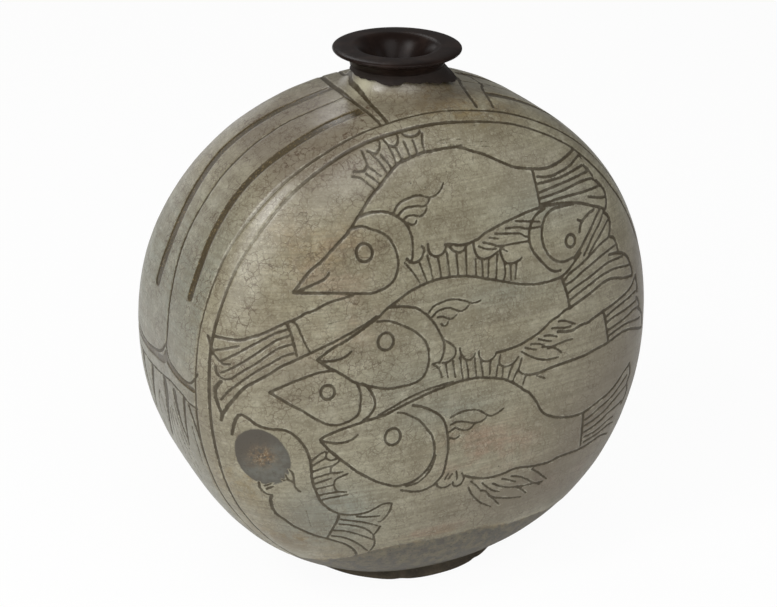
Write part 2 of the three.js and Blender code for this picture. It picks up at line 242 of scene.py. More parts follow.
BOTTOM_FISH = Sketch(
    outline="""
    -56.5,82.8 -55,83.8 -50,85.3 -45,86.3 -40,87.2 -33,88 -30,88.8 -25,90.3 -20,91.5 -15,92.8 -10,93.5
    -5,94.3 0,94.6 5,94.3 9,93.5 12.5,92.5 16,91.3 19,89.5 22,87.3 24,85.3 26,84 28.5,80.5 31.5,75
    35,72.5 39,70.8 43,69.8 47,69.3 51,69.5 55,70.5 59,71.8 63,72.8 67,74.8 71,77.5 75,79.8 76,80.5
    / -56.3,82.3 -53.5,81.3 -49.5,80.5 -45.5,81 -43,82.5
    / -56.3,82 -53.3,78 -50,74.3 -47,71.5 -45,69.3 -42,66.8 -39,64.5 -36,62.5 -32,60.5 -29,59.5 -25,59.6
    -22,60.3 -19,62 -16.5,64.3 -14.8,67 -13.9,70 -14,74 -15,77.3 -16,78.5 -17.5,81 -19.5,83.5 -22,85.3
    -25,87.3 -27.5,88
    / -21.5,89.5 -18.5,88.5 -15,86.5 -12,84.3 -10,82 -9,79.5 -8.5,76.5 -8.3,73 -8.5,69 -9.3,65.5
    -10,62.5 -11,60 -13,58 -15,56.5 -17.5,55.7 -20.5,55.4 -23.5,56 -27.5,57.5
    / -1.8,57.3 1,56 4,54.8 7.5,54 11,53.8 15,54.1 20,54.8 25,54 28,53.5 35,53 40,53.8 50,53.5 55,54
    60,54.6 63,54.3 66,53
    / 50.6,69.3 50.5,65 50.2,55
    / 76,80.5 76.8,77.5 76.8,75 75.5,72.5 / 75.5,71.5 76,68.5 75,65.5 73,63.5
    """,
    fine="""
    -35,88.5 -29,90.5 -25,92 -20,93.3 -15,94.3 -10,94.8 -5,95
    / -13.5,68.5 -14.8,64.8 -17,61.8 -20,59.5 -22.5,58.8 -25.5,58.6
    / -7,81.5 -4,82.5 -1,82.9 2,82.6 5,81.8 7.5,79.8 9.5,78.6 12,79 15,80.3
    / -7,78.8 -5,79.4 -2,79 1,78 3.5,77.3 6,77.5 7.5,78.3
    / -7.5,76.3 -5,77.3 -3,76 -0.5,75.3 1.5,76 2.5,77 / -7.8,74 -5.5,73.1 -3.5,73.9
    / -13.5,57.5 -13,55.8 -11.5,54.8 -9.5,54.6 -7.8,55.3 / -6.8,56 -6.5,54.5 -5,53.8 -3,54.8 -2.3,56.5 -3,58.8
    / -10,58 -8.5,60 / -8.5,57.8 -7,59.5 / -5.3,60 -5,56.5
    / 51.8,66 55,66.8 58,68 65,70.3 69,72.5 73,75 75,76 / 51.8,63.5 55,63.9 62,65.8 66,67.8 70,69.5 75,71.5
    / 51.8,60.6 55,61 60,62.3 65,64 73,65 / 51.8,58.3 57,58.4 61,59.3 65,60.3 68,60.3
    / 51.8,56 60,56.8 65,57.8 69,57
    / -13,103.3 -10.5,101 -9.5,97.5 / -7.8,102.5 -7.1,97 / -4.8,102.5 -4.1,96.5 / -1.8,104 -1.6,99.5 -1.1,95.3
    / 0.6,101.5 1.3,95 / 4,102 4.3,95 / 6.3,100.5 7.2,94.8 / 10.3,99.5 9.8,94.5 / 13.3,97.5 12.5,93.5
    / 15.3,96 15,92.8 / 19.5,96.3 18,93.5 17.3,91.5 / 23.3,98 22,94.5 20.5,92.5 19.3,90
    / 21.8,93.5 23.3,92 25,91.5 / 24.5,90.5 23.5,88
    / -0.3,52 1,49 3,46.3 5,44 9.8,40.5 / 0.8,54.3 2.5,52.5 4.5,50 / 5,49.3 7,48.5 8.5,46.5 11,43.5 13.5,40.3
    / 8.5,46 11,44.5 15,43 19,41.8 23,41 / 5.5,52.5 7.5,50.3 10,48 13,46.5
    / 10,51 13,49 17,47.3 21,46.5 25,45.8 32.5,45 / 14,52 17,50.5 20,49
    / 18,52 22,50.5 25,48.5 28.5,45.8 31.5,44 / 20.5,46.5 23,44.5 25.3,42 / 27,52.5 30,50 32.5,47.5 34.5,45.5
    """,
    eyes=((-29.9, 79.3, 3.0),),
)

RISING_FISH = Sketch(
    outline="""
    -82.3,92.8 -81.3,93 -79.5,91.8 -77,89.5 -73,88.1 -69.5,87.8 -67,86.8 -64.5,84.5 -62.8,82 -61.3,79
    -60.3,75 -60,71.5 -59.9,68 -59.3,64.5 -58,60.5 -56.5,57 -54,54 -51.5,52 -49,50.8 -45,50.1 -41,50.3
    -38,51.3 -35,52.8 -33,53 -31,52.5 -31.3,50.5
    / -82.3,92.8 -83.3,91 -84,88 -84.5,84.5
    / -72.8,60 -73,57.5 -72,53.5 -70.5,50.8 -68,48.5 -65,45.5 -61,42.8 -57,40.5 -54,39.3 -51,37.8
    -48,36.3 -45,34 -43,31.5 -42,29.3 -41,25.5
    / -50.3,50.8 -51,47.5 -52.3,43.5 -53.5,39.5
    """,
    fine="""
    -44,49 -40,48.3 -35.5,47.9 / -49.5,48.5 -46,47.5 -42,46.3 -39,45 -36,43.5
    / -50,46.3 -46.5,45.5 -43,44.3 -40,42.5 -38,40.3 / -51.5,43.3 -48,42.8 -45,41.5 -41,39.3 -37,36.7
    / -52,40.5 -49,39.8 -46,38.3 -43,36 -40.5,33.5 -38.5,31
    / -31.3,50.3 -32.5,48 -34.5,45.5 -35.8,45.3 / -35,43 -36.5,40
    / -37.3,39.5 -36.5,36.5 -36.3,34 -37,31.5 -38,29 -38.8,26.5
    / -59.5,75 -57,77 -55,78 / -59.5,72.8 -57,74.3 -54.8,75.3 / -59.5,70.3 -56.5,71.3 -53,72
    / -59.5,67.5 -53.5,69 -49.5,69 / -59,65.3 -53,67 / -58.8,63 -53,64
    / -57.3,60.3 -54,60.8 -50.5,61 -47.8,60.5
    / -56,58.3 -53,58.8 -47.3,59.3
    / -54.5,77.5 -54.8,75.5 -53,74.3 -50.5,74.8 -51.5,76.5 -53,78
    / -50,73.5 -53,71.5 -53.3,69.5 -51.5,68.8 -49,69.1 / -47.3,68 -49.5,67.3 -51.8,66 -52,63 -51,61
    / -70.3,69.5 -69.8,67.5 -68.8,67.3 / -68.8,71.5 -68.5,69 -67.5,67.3 -66,66.3
    / -68,72 -66.8,71 -66,69 -65.8,66 -65,63.5 -63.8,62.3
    / -76.8,66 -76.5,63.5 -75.3,61.5 -73.8,60.5 -72.8,60.7 / -75,64.5 -72.5,66 / -74.5,63 -72.5,64.5
    """,
)

SCRATCHES = """
    -5,179 5,178.1 10,177 18,175.5 / -54.8,123.4 -45,125.3 -33,127 / -64,59 -62,54.5 -59.5,45.5
    / -1.2,169 0.2,168.3 1.4,168.7 / 10.4,172.2 9.8,170.6 10.4,169.4 / -2,178 20,173.5 / -24,99 4,104.5
    / -30,93.5 -8,98 / 12,129.5 14,128.6 14.4,127.2 / 30,66 31.2,65.2 / -8,112.5 12,116
    """


@dataclass(frozen=True)
class Laying:
    """How a sketch is laid on a face: scaled about the waist, turned over, then moved."""

    sketch: Sketch
    scale: float = 1.0
    turned_over: bool = False
    across: float = 0.0
    up: float = 0.0


FRONT_FACE = tuple(
    Laying(sketch)
    for sketch in (
        TOP_FISH,
        LEAF_FIN,
        RIGHT_FISH,
        MIDDLE_FISH,
        MIDDLE_COMB,
        SMALL_FISH,
        BOTTOM_FISH,
        RISING_FISH,
    )
)

BACK_FACE = (
    Laying(BOTTOM_FISH, scale=0.86, across=-6, up=66),
    Laying(TOP_FISH, turned_over=True, across=2, up=-53),
    Laying(MIDDLE_FISH, scale=0.94, across=-6, up=-46),
    Laying(MIDDLE_COMB, scale=0.94, across=-6, up=-46),
)


@dataclass(frozen=True)
class WallStroke:
    """A line on the side wall, as points of depth and way down from the crown, with its width at each end."""

    points: str
    start: float
    end: float
    heavy: bool = False
    wall: Wall = Wall.BOTH


SIDE_WALL = (
    WallStroke("-18.5,20 -17.8,35 -17.5,50 -16.5,70 -18.5,90 -21,105 -22,116", 4.3, 3.6, heavy=True),
    WallStroke("7,20 8,35 10.5,50 12,70 9,90 6.5,105 6,121.5", 3.8, 4.8, heavy=True),
    WallStroke("-4,22 -4.5,25 -3.5,37 -1.5,48 -0.5,70 -1.5,85 -3.5,103 -7.5,120 -10.3,133 -10.5,139", 1, 1.7),
    WallStroke("-28,17.7 -21,18.1 -12,17.9 -5,18.3 1,18.3 7,16 28,12", 1.6, 1.4, wall=Wall.LEFT),
    WallStroke("-28,20.3 -15,21.9 1.4,22.3 14,21.6 21,20.6 28,19.4", 1.3, 2.2, wall=Wall.LEFT),
    WallStroke("-28,19.5 -20.6,19.6 -10,22 1,25.6 14,24.4 28,19.8", 1.4, 1.3, wall=Wall.RIGHT),
    WallStroke("-28,26.8 -19.3,27.9 -11,30.6 -3.8,34 8,33.6 28,26.4", 1.2, 1.4, wall=Wall.RIGHT),
    WallStroke("-33.5,141 -32,144 -30,146.3 -27,147 -20,146.2 -14,144.8 -11,141 -10.5,139", 1.0, 1.4),
    WallStroke("-10.5,139 -9,141 -6,144.3 0,147 7,148.5 15,149.2 24,147.5 31,143", 1.4, 1.0),
    WallStroke("-31.5,148.6 -24,148 -16,147 -11,145.6", 2.2, 2.6, heavy=True),
    WallStroke("-11,143.5 -8,147 0,149 10,150.3 20,150.8 30,149.5", 3.4, 1.8, heavy=True),
    WallStroke(
        "-33.5,155.7 -28,155 -25,153.7 -20,153 -15,152.8 -10,153.5 0,155.3 15,156.2 30,155.4", 0.9, 0.9
    ),
    WallStroke("-25.4,155 -24.8,163 -24,171 -23.2,176", 2.0, 0.9),
    WallStroke("-17.5,156 -18.8,161 -21,168 -23.2,173", 3.6, 0.8),
    WallStroke("-8,156.5 -8.3,162 -6.8,168 -4.5,176 -1,184", 4.6, 1.0),
    WallStroke("6.5,157.5 7.6,162 10,170 13.5,179", 3.2, 0.9),
    WallStroke("19,157.5 18.5,163 17,170 15,178", 3.2, 0.9),
    WallStroke("28,157 29.5,165 31,172", 2.0, 0.8),
    WallStroke("-28.5,156.5 -31,163 -32.6,169 -33.2,178", 1.4, 0.8),
    WallStroke("-16.2,161 -18,167 -20.5,173 -23,180 -25.5,188", 0.9, 0.6),
    WallStroke("-14,165 -16,171 -18.5,178 -20.5,186 -22,194", 0.9, 0.6),
    WallStroke("-12.6,164 -12,171 -13,180 -15,190", 0.9, 0.6),
    WallStroke("-10.5,166 -9,173 -7,181 -5,190", 0.9, 0.6),
    WallStroke("0.5,164 -2,170 -2,178 1,186", 0.8, 0.6),
    WallStroke("0.5,164 4,170 6,178 8,187", 0.8, 0.6),
    WallStroke("12.5,163 11,170 13,178", 0.8, 0.6),
    WallStroke("23.5,162 21,169 20.5,178 22,187", 0.8, 0.6),
    WallStroke("23.5,162 26.5,170 27.5,179", 0.8, 0.6),
    WallStroke("-29,165 -30,172 -30.6,182", 0.8, 0.6),
)


def knife_lines(text: str) -> list[np.ndarray]:
    """The lines of a sketch, each an array of its points."""
    parts = [part.split() for part in text.split("/")]
    return [np.array([point.split(",") for point in part], float) for part in parts if part]


def drawn_through(points: np.ndarray, step: float = 0.7) -> np.ndarray:
    """A smooth line through points.

    Args:
        points: The points, one a row.
        step: About how far apart the new points are, in millimetres.

    Returns:
        The points of the smooth line.
    """
    padded = np.vstack([2 * points[0] - points[1], points, 2 * points[-1] - points[-2]])
    pieces = []
    for before, start, end, after in zip(padded, padded[1:], padded[2:], padded[3:]):
        count = max(2, int(np.hypot(*(end - start)) / step))
        t = np.linspace(0, 1, count, endpoint=False)[:, None]
        bend = 2 * before - 5 * start + 4 * end - after
        twist = -before + 3 * start - 3 * end + after
        pieces.append(start + 0.5 * t * ((end - before) + t * (bend + t * twist)))
    return np.vstack([*pieces, points[-1]])


@dataclass
class Chart:
    """A flat map of a surface, which holds how far each place is from the edge of the nearest line."""

    across: tuple[float, float]
    up: tuple[float, float]
    step: float = 0.25
    reach: float = LINE_REACH
    edge: np.ndarray = field(init=False)

    def __post_init__(self) -> None:
        """Lays the map out, empty."""
        self.columns = np.arange(self.across[0], self.across[1], self.step)
        self.rows = np.arange(self.up[0], self.up[1], self.step)
        self.edge = np.full((len(self.rows), len(self.columns)), self.reach)

    def draw(self, line: np.ndarray, start: float, end: float) -> None:
        """Draws one line.

        Args:
            line: Its points.
            start: Its width at its first point.
            end: Its width at its last point.
        """
        halves = np.linspace(start, end, len(line)) / 2
        pad = self.reach + max(start, end) / 2
        for a, b, half_a, half_b in zip(line, line[1:], halves, halves[1:]):
            low = np.minimum(a, b) - pad
            high = np.maximum(a, b) + pad
            i0, i1 = np.searchsorted(self.columns, (low[0], high[0]))
            j0, j1 = np.searchsorted(self.rows, (low[1], high[1]))
            x = self.columns[None, i0:i1] - a[0]
            y = self.rows[j0:j1, None] - a[1]
            way = b - a
            t = np.clip((x * way[0] + y * way[1]) / max(way @ way, 1e-9), 0, 1)
            gap = np.hypot(x - t * way[0], y - t * way[1]) - (half_a + (half_b - half_a) * t)
            window = self.edge[j0:j1, i0:i1]
            np.minimum(window, gap, out=window)

    def sample(self, x: np.ndarray, y: np.ndarray) -> np.ndarray:
        """The map's values at some places, and its reach outside it.

        Args:
            x: How far across each place is.
            y: How far up it is.

        Returns:
            One value a place.
        """
        i = np.clip((x - self.across[0]) / self.step, 0, len(self.columns) - 1.001)
        j = np.clip((y - self.up[0]) / self.step, 0, len(self.rows) - 1.001)
        i0, j0 = i.astype(int), j.astype(int)
        s, t = i - i0, j - j0
        low = self.edge[j0, i0] * (1 - s) + self.edge[j0, i0 + 1] * s
        high = self.edge[j0 + 1, i0] * (1 - s) + self.edge[j0 + 1, i0 + 1] * s
        return low * (1 - t) + high * t


# Shapes


def eased(value: np.ndarray, low: float, high: float) -> np.ndarray:
    """0 at low and 1 at high, smooth between them."""
    t = np.clip((value - low) / (high - low), 0, 1)
    return t * t * (3 - 2 * t)


def swell(points: np.ndarray, size: float, seed: int, waves: int = 10) -> np.ndarray:
    """A soft unevenness in space.

    Args:
        points: The places, one a row, in millimetres.
        size: About how long one wave is.
        seed: Picks the waves.
        waves: How many waves are added up.

    Returns:
        One value a place, mostly between -1 and 1.
    """
    rng = np.random.default_rng(seed)
    ways = rng.normal(size=(waves, 3))
    ways /= np.linalg.norm(ways, axis=1, keepdims=True)
    lengths = size * rng.uniform(0.7, 1.5, waves)
    starts = rng.uniform(0, math.tau, waves)
    total = np.zeros(len(points))
    for way, length, start in zip(ways, lengths, starts):
        total += np.cos(points @ way * (math.tau / length) + start)
    return total / math.sqrt(waves * 2)


def swayed(turn: np.ndarray, waves: Waves) -> np.ndarray:
    """The sum of some waves round a circle, each given as its size, its count and its start."""
    return sum(size * np.sin(count * turn + start) for size, count, start in waves)


def bent(t: np.ndarray, start: Bend, towards: Bend, end: Bend) -> np.ndarray:
    """A curve from a start to an end, bent towards something between them."""
    return (1 - t) ** 2 * start + 2 * t * (1 - t) * towards + t**2 * end


def about_axis(radius: np.ndarray, height: np.ndarray, turn: np.ndarray) -> np.ndarray:
    """Points round the axis, from radii and heights that have a row for each turn."""
    z = np.broadcast_to(height, radius.shape)
    return np.stack([radius * np.cos(turn)[:, None], radius * np.sin(turn)[:, None], z], -1)


@dataclass
class Globe:
    """The paddled globe's own surface, from the same sizes as the CAD model."""

    half_width: float = 96.5
    crown_rise: float = 95.0
    base_drop: float = 97.0
    crown_fullness: float = 2.1
    base_fullness: float = 2.14
    half_depth: float = 60.4
    taper: float = 14.9
    squareness: float = 3.46
    crown_squareness: float = 4.05
    foot_height: float = 6.0
    foot_radius: float = 44.0
    root_radius: float = 16.4
    root_curve: tuple[Place, ...] = ((9.4, -3.2), (1.9, -0.8), (0.0, 4.8))
    root_slope: float = 0.8
    root_reach: float = 33.0
    root_joint: float = 0.8

    def __post_init__(self) -> None:
        """Works out how high the waist and the crown stand."""
        share = self.foot_radius / self.half_width
        self.waist = self.foot_height + self.base_drop * (1 - share**self.base_fullness) ** (
            1 / self.base_fullness
        )
        self.crown = self.waist + self.crown_rise

    def outline(self, angle: np.ndarray, grow: float = 0.0) -> np.ndarray:
        """How far the outline is from the middle of the waist, at an angle from the right.

        Args:
            angle: The angle.
            grow: How much larger than it is the globe is taken.

        Returns:
            The outline's radius.
        """
        upper = np.sin(angle) > 0
        rise = np.where(upper, self.crown_rise, self.base_drop) + grow
        fullness = np.where(upper, self.crown_fullness, self.base_fullness)
        across = np.abs(np.cos(angle)) / (self.half_width + grow)
        return (across**fullness + (np.abs(np.sin(angle)) / rise) ** fullness) ** (-1 / fullness)

    def lean(self, height: np.ndarray) -> tuple[np.ndarray, np.ndarray]:
        """Half the depth of the globe and how square it is, at a height.

        Args:
            height: The height.

        Returns:
            Half the depth, and the squareness.
        """
        rise = (height - self.waist) / self.crown_rise
        square = self.squareness + (self.crown_squareness - self.squareness) * rise
        return self.half_depth - self.taper * rise, square

    def points(self, angle: np.ndarray, share: np.ndarray, side: float | np.ndarray) -> np.ndarray:
        """Points of the surface.

        Args:
            angle: The angle round the outline, from the right.
            share: How far out the point is, as a share of the outline's radius.
            side: -1 for the front, 1 for the back.

        Returns:
            The points, with x, y and z last.
        """
        radius = share * self.outline(angle)
        height = self.waist + radius * np.sin(angle)
        depth, square = self.lean(height)
        face = depth * np.maximum(0, 1 - share**square) ** (1 / square)
        return np.stack([radius * np.cos(angle), side * face, height], -1)

    def shell_value(self, points: np.ndarray, grow: float) -> np.ndarray:
        """Below 0 inside the globe, and above it outside.

        Args:
            points: The places, with x, y and z last.
            grow: How much larger than it is the globe is taken.

        Returns:
            One value a place.
        """
        x, y, z = np.moveaxis(points, -1, 0)
        share = np.hypot(x, z - self.waist) / self.outline(np.arctan2(z - self.waist, x), grow)
        depth, square = self.lean(z)
        return share**square + (np.abs(y) / (depth + grow)) ** square - 1

    def root(self, out: np.ndarray) -> np.ndarray:
        """How high the first neck's root stands at a distance from the axis.

        Args:
            out: The distance.

        Returns:
            The height.
        """
        t = np.linspace(1, 0, 200)
        foot, hollow, top = ((self.root_radius + a, self.crown + b) for a, b in self.root_curve)
        r, z = (bent(t, foot[i], hollow[i], top[i]) for i in (0, 1))
        return np.interp(out, r, z) - self.root_slope * np.maximum(0, out - foot[0])

    def rooted(self, points: np.ndarray) -> None:
        """Raises the shoulder's points to the root, with a soft joint between the two.

        Args:
            points: The skin's points, which are moved.
        """
        out = np.hypot(points[:, 0], points[:, 1])
        near = (out < self.root_reach) & (points[:, 2] > self.waist)
        shoulder, root = points[near, 2], self.root(out[near])
        points[near, 2] = (shoulder + root + np.hypot(shoulder - root, self.root_joint)) / 2


@dataclass
class Surface:
    """A mesh in the making: its points, its faces, and the flat place of each face's corners."""

    points: np.ndarray
    faces: np.ndarray
    flat: np.ndarray

    def mesh(self, name: str) -> bpy.types.Object:
        """The surface as an object of the scene, in metres.

        Args:
            name: The object's name.

        Returns:
            The object.
        """
        mesh = bpy.data.meshes.new(name)
        mesh.vertices.add(len(self.points))
        mesh.vertices.foreach_set("co", (self.points * MM).astype(np.float32).ravel())
        mesh.loops.add(self.faces.size)
        mesh.loops.foreach_set("vertex_index", self.faces.astype(np.int32).ravel())
        mesh.polygons.add(len(self.faces))
        starts = np.arange(0, self.faces.size, self.faces.shape[1], dtype=np.int32)
        mesh.polygons.foreach_set("loop_start", starts)
        mesh.polygons.foreach_set("use_smooth", np.ones(len(self.faces), bool))
        layer = mesh.uv_layers.new(name="OFBake")
        layer.uv.foreach_set("vector", self.flat.astype(np.float32).ravel())
        mesh.update(calc_edges=True)
        mesh.validate()
        made = bpy.data.objects.new(name, mesh)
        bpy.context.scene.collection.objects.link(made)
        return made


def grid_faces(index: np.ndarray) -> np.ndarray:
    """The four corners of each square of a grid of point numbers."""
    corners = [index[:-1, :-1], index[1:, :-1], index[1:, 1:], index[:-1, 1:]]
    return np.stack(corners, -1).reshape(-1, 4)


def grid_flat(across: np.ndarray, up: np.ndarray) -> np.ndarray:
    """The flat places of the corners that grid_faces gives.

    Args:
        across: How far across each point of the grid lies.
        up: How far up it lies.

    Returns:
        The flat places, four a face.
    """
    flat = np.stack([across, up], -1)
    corners = [flat[:-1, :-1], flat[1:, :-1], flat[1:, 1:], flat[:-1, 1:]]
    return np.stack(corners, -2).reshape(-1, 4, 2)


def ring_surface(points: np.ndarray) -> Surface:
    """A closed ring.

    Args:
        points: An array of turn steps by profile steps by 3, both closed on themselves.

    Returns:
        Its surface, unrolled flat on the unit square.
    """
    turns, steps = points.shape[:2]
    index = np.arange(turns * steps).reshape(turns, steps)
    index = np.pad(index, ((0, 1), (0, 1)), mode="wrap")
    across, up = np.meshgrid(np.linspace(0, 1, turns + 1), np.linspace(0, 1, steps + 1), indexing="ij")
    return Surface(points.reshape(-1, 3), grid_faces(index), grid_flat(across, up))


def rounded(start: Place, towards: Place, end: Place, count: int = 12) -> list[Place]:
    """Points of a curve between two profile points, bent towards a third."""
    curve = bent(np.linspace(0, 1, count)[:, None], *(np.array(point) for point in (start, towards, end)))
    return [tuple(point) for point in curve]


def arc(centre: Place, radius: float, start: float, end: float, count: int = 10) -> list[Place]:
    """Points of an arc in a profile, between two angles in degrees from outwards."""
    angles = np.radians(np.linspace(start, end, count))
    return [(centre[0] + radius * math.cos(a), centre[1] + radius * math.sin(a)) for a in angles]


# Finishes


def colour(code: str) -> tuple[float, float, float, float]:
    """A colour written as six hex digits, as Blender's shader takes it.

    Args:
        code: The digits.

    Returns:
        Red, green, blue and opacity, from 0 to 1.
    """
    parts = [int(code[i : i + 2], 16) / 255 for i in (0, 2, 4)]
    linear = [c / 12.92 if c <= 0.04045 else ((c + 0.055) / 1.055) ** 2.4 for c in parts]
    return (*linear, 1.0)


Value = bpy.types.NodeSocket | float
WANDER_SCALE = 1.3
WANDER_DETAIL = 3.0


class Finish:
    """The nodes of one material, put together step by step."""

    def __init__(self, name: str) -> None:
        """Starts a material with its shader.

        Args:
            name: The material's name.
        """
        self.material = bpy.data.materials.new(name)
        self.material.use_nodes = True
        self.nodes = self.material.node_tree.nodes
        self.links = self.material.node_tree.links
        self.shader = self.nodes["Principled BSDF"]
        self.place = self.nodes.new("ShaderNodeTexCoord").outputs["Object"]

    def give(self, socket: bpy.types.NodeSocket, value: Value | tuple) -> None:
        """Sets a socket, or links it.

        Args:
            socket: The socket.
            value: What it is set to, or the socket that it is linked to.
        """
        if isinstance(value, bpy.types.NodeSocket):
            self.links.new(value, socket)
        else:
            socket.default_value = value

    def field(self, name: str) -> bpy.types.NodeSocket:
        """A number that the mesh holds at each point.

        Args:
            name: The number's name in the mesh.

        Returns:
            The number's socket.
        """
        node = self.nodes.new("ShaderNodeAttribute")
        node.attribute_name = name
        return node.outputs["Fac"]

    def stretched(self, sizes: tuple[float, float, float], offset: float = 0.0) -> bpy.types.NodeSocket:
        """The place in space, in units of three sizes in millimetres.

        Args:
            sizes: The sizes along x, y and z.
            offset: Moves it, so that two patterns differ.

        Returns:
            The place's socket.
        """
        node = self.nodes.new("ShaderNodeMapping")
        self.links.new(self.place, node.inputs["Vector"])
        node.inputs["Scale"].default_value = [1 / (MM * size) for size in sizes]
        node.inputs["Location"].default_value = (offset, offset * 0.7, offset * 1.3)
        return node.outputs["Vector"]

    def noise(
        self, size: float | tuple[float, float, float], detail: float, rough: float, offset: float = 0.0
    ) -> bpy.types.NodeSocket:
        """A cloudy value from 0 to 1.

        Args:
            size: How big a cloud is, in millimetres, or that along each axis.
            detail: How many finer layers are added.
            rough: How strong they are.
            offset: Moves it, so that two clouds differ.

        Returns:
            The value's socket.
        """
        sizes = size if isinstance(size, tuple) else (size, size, size)
        node = self.nodes.new("ShaderNodeTexNoise")
        self.links.new(self.stretched(sizes, offset), node.inputs["Vector"])
        node.inputs["Scale"].default_value = 1.0
        node.inputs["Detail"].default_value = detail
        node.inputs["Roughness"].default_value = rough
        return node.outputs["Fac"]

    def cells(self, size: float, feature: str, wander: float = 0.0, offset: float = 0.0) -> bpy.types.Node:
        """A cell pattern.

        Args:
            size: How big a cell is, in millimetres.
            feature: Blender's name for what is measured.
            wander: How far its places wander, as a share of a cell.
            offset: Moves it, so that two patterns differ.

        Returns:
            The pattern's node.
        """
        node = self.nodes.new("ShaderNodeTexVoronoi")
        node.feature = feature
        node.inputs["Scale"].default_value = 1.0
        place = self.stretched((size, size, size), offset)
        if wander:
            cloud = self.nodes.new("ShaderNodeTexNoise")
            self.links.new(place, cloud.inputs["Vector"])
            cloud.inputs["Scale"].default_value = WANDER_SCALE
            cloud.inputs["Detail"].default_value = WANDER_DETAIL
            moved = self.nodes.new("ShaderNodeVectorMath")
            moved.operation = "MULTIPLY_ADD"
            self.links.new(cloud.outputs["Color"], moved.inputs[0])
            moved.inputs[1].default_value = (wander, wander, wander)
            self.links.new(place, moved.inputs[2])
            place = moved.outputs["Vector"]
        self.links.new(place, node.inputs["Vector"])
        return node

    def sum(self, operation: str, first: Value, second: Value, third: Value = 0.0) -> bpy.types.NodeSocket:
        """The result of a sum on two or three values.

        Args:
            operation: Blender's name for the sum.
            first: The first value.
            second: The second value.
            third: The third value, where the sum takes one.

        Returns:
            The result's socket.
        """
        node = self.nodes.new("ShaderNodeMath")
        node.operation = operation
        for socket, value in zip(node.inputs, (first, second, third)):
            self.give(socket, value)
        return node.outputs["Value"]

    def scaled(self, value: Value, share: Value) -> bpy.types.NodeSocket:
        """One value times another."""
        return self.sum("MULTIPLY", value, share)

    def spread(
        self, value: Value, low: float, high: float, start: float = 0.0, end: float = 1.0
    ) -> bpy.types.NodeSocket:
        """Maps low to start and high to end, smoothly, and no further.

        Args:
            value: The value.
            low: Where the map starts.
            high: Where it ends.
            start: What low becomes.
            end: What high becomes.

        Returns:
            The result's socket.
        """
        node = self.nodes.new("ShaderNodeMapRange")
        node.interpolation_type = "SMOOTHSTEP"
        settings = {"Value": value, "From Min": low, "From Max": high, "To Min": start, "To Max": end}
        for name, setting in settings.items():
            self.give(node.inputs[name], setting)
        return node.outputs["Result"]

    def blend(self, amount: Value, base: Value | tuple, over: Value | tuple) -> bpy.types.NodeSocket:
        """One colour laid over another.

        Args:
            amount: How much of the upper colour shows.
            base: The lower colour.
            over: The upper colour.

        Returns:
            The blended colour's socket.
        """
        node = self.nodes.new("ShaderNodeMix")
        node.data_type = "RGBA"
        factor, first, second = node.inputs[0], node.inputs[6], node.inputs[7]
        for socket, value in ((factor, amount), (first, base), (second, over)):
            self.give(socket, value)
        return node.outputs[2]

    def relief(self, height: Value, depth: float, below: Value | None = None) -> bpy.types.NodeSocket:
        """A bump.

        Args:
            height: The height, from 0 to 1.
            depth: How deep that is, in millimetres.
            below: The bump that it lies on.

        Returns:
            The bent normal's socket.
        """
        node = self.nodes.new("ShaderNodeBump")
        node.inputs["Distance"].default_value = depth * MM
        self.give(node.inputs["Height"], height)
        if below is not None:
            self.give(node.inputs["Normal"], below)
        return node.outputs["Normal"]

    def done(
        self, base: Value | tuple, roughness: Value, normal: Value, **settings: float
    ) -> bpy.types.Material:
        """Joins everything to the shader.

        Args:
            base: The colour.
            roughness: The roughness.
            normal: The bent normal.
            settings: Other sockets of the shader, by their names with low lines for spaces.

        Returns:
            The material.
        """
        self.give(self.shader.inputs["Base Color"], base)
        self.give(self.shader.inputs["Roughness"], roughness)
        self.give(self.shader.inputs["Normal"], normal)
        for name, value in settings.items():
            self.shader.inputs[name.replace("_", " ")].default_value = value
        return self.material


@dataclass(frozen=True)
class Glaze:
    """White slip cut through to the dark clay, under a thin grey-green crackled glaze."""

    pale: str = "a09b84"
    light: str = "b3af9b"
    buff: str = "8c866f"
    shade: str = "6f6753"
    green: str = "828980"
    ochre: str = "8d7a54"
    pink: str = "9b7a65"
    # Painted shade, with some of the glaze's own darker tone.
    dark_tone_and_shade: str = "6a6051"
    # A paler slip beside the neck, with a painted highlight on it.
    pale_slip_and_highlight: str = "b5b097"
    amber: str = "7d683b"
    cut_line: str = "3a301b"
    heavy_line: str = "433821"
    crack: str = "4a3826"
    clay: str = "504c44"
    speck: str = "3c342a"
    scar_grey: str = "5d5d55"
    scar_brown: str = "4b453b"
    rust: str = "785f40"
    grain_pale: str = "a79c83"


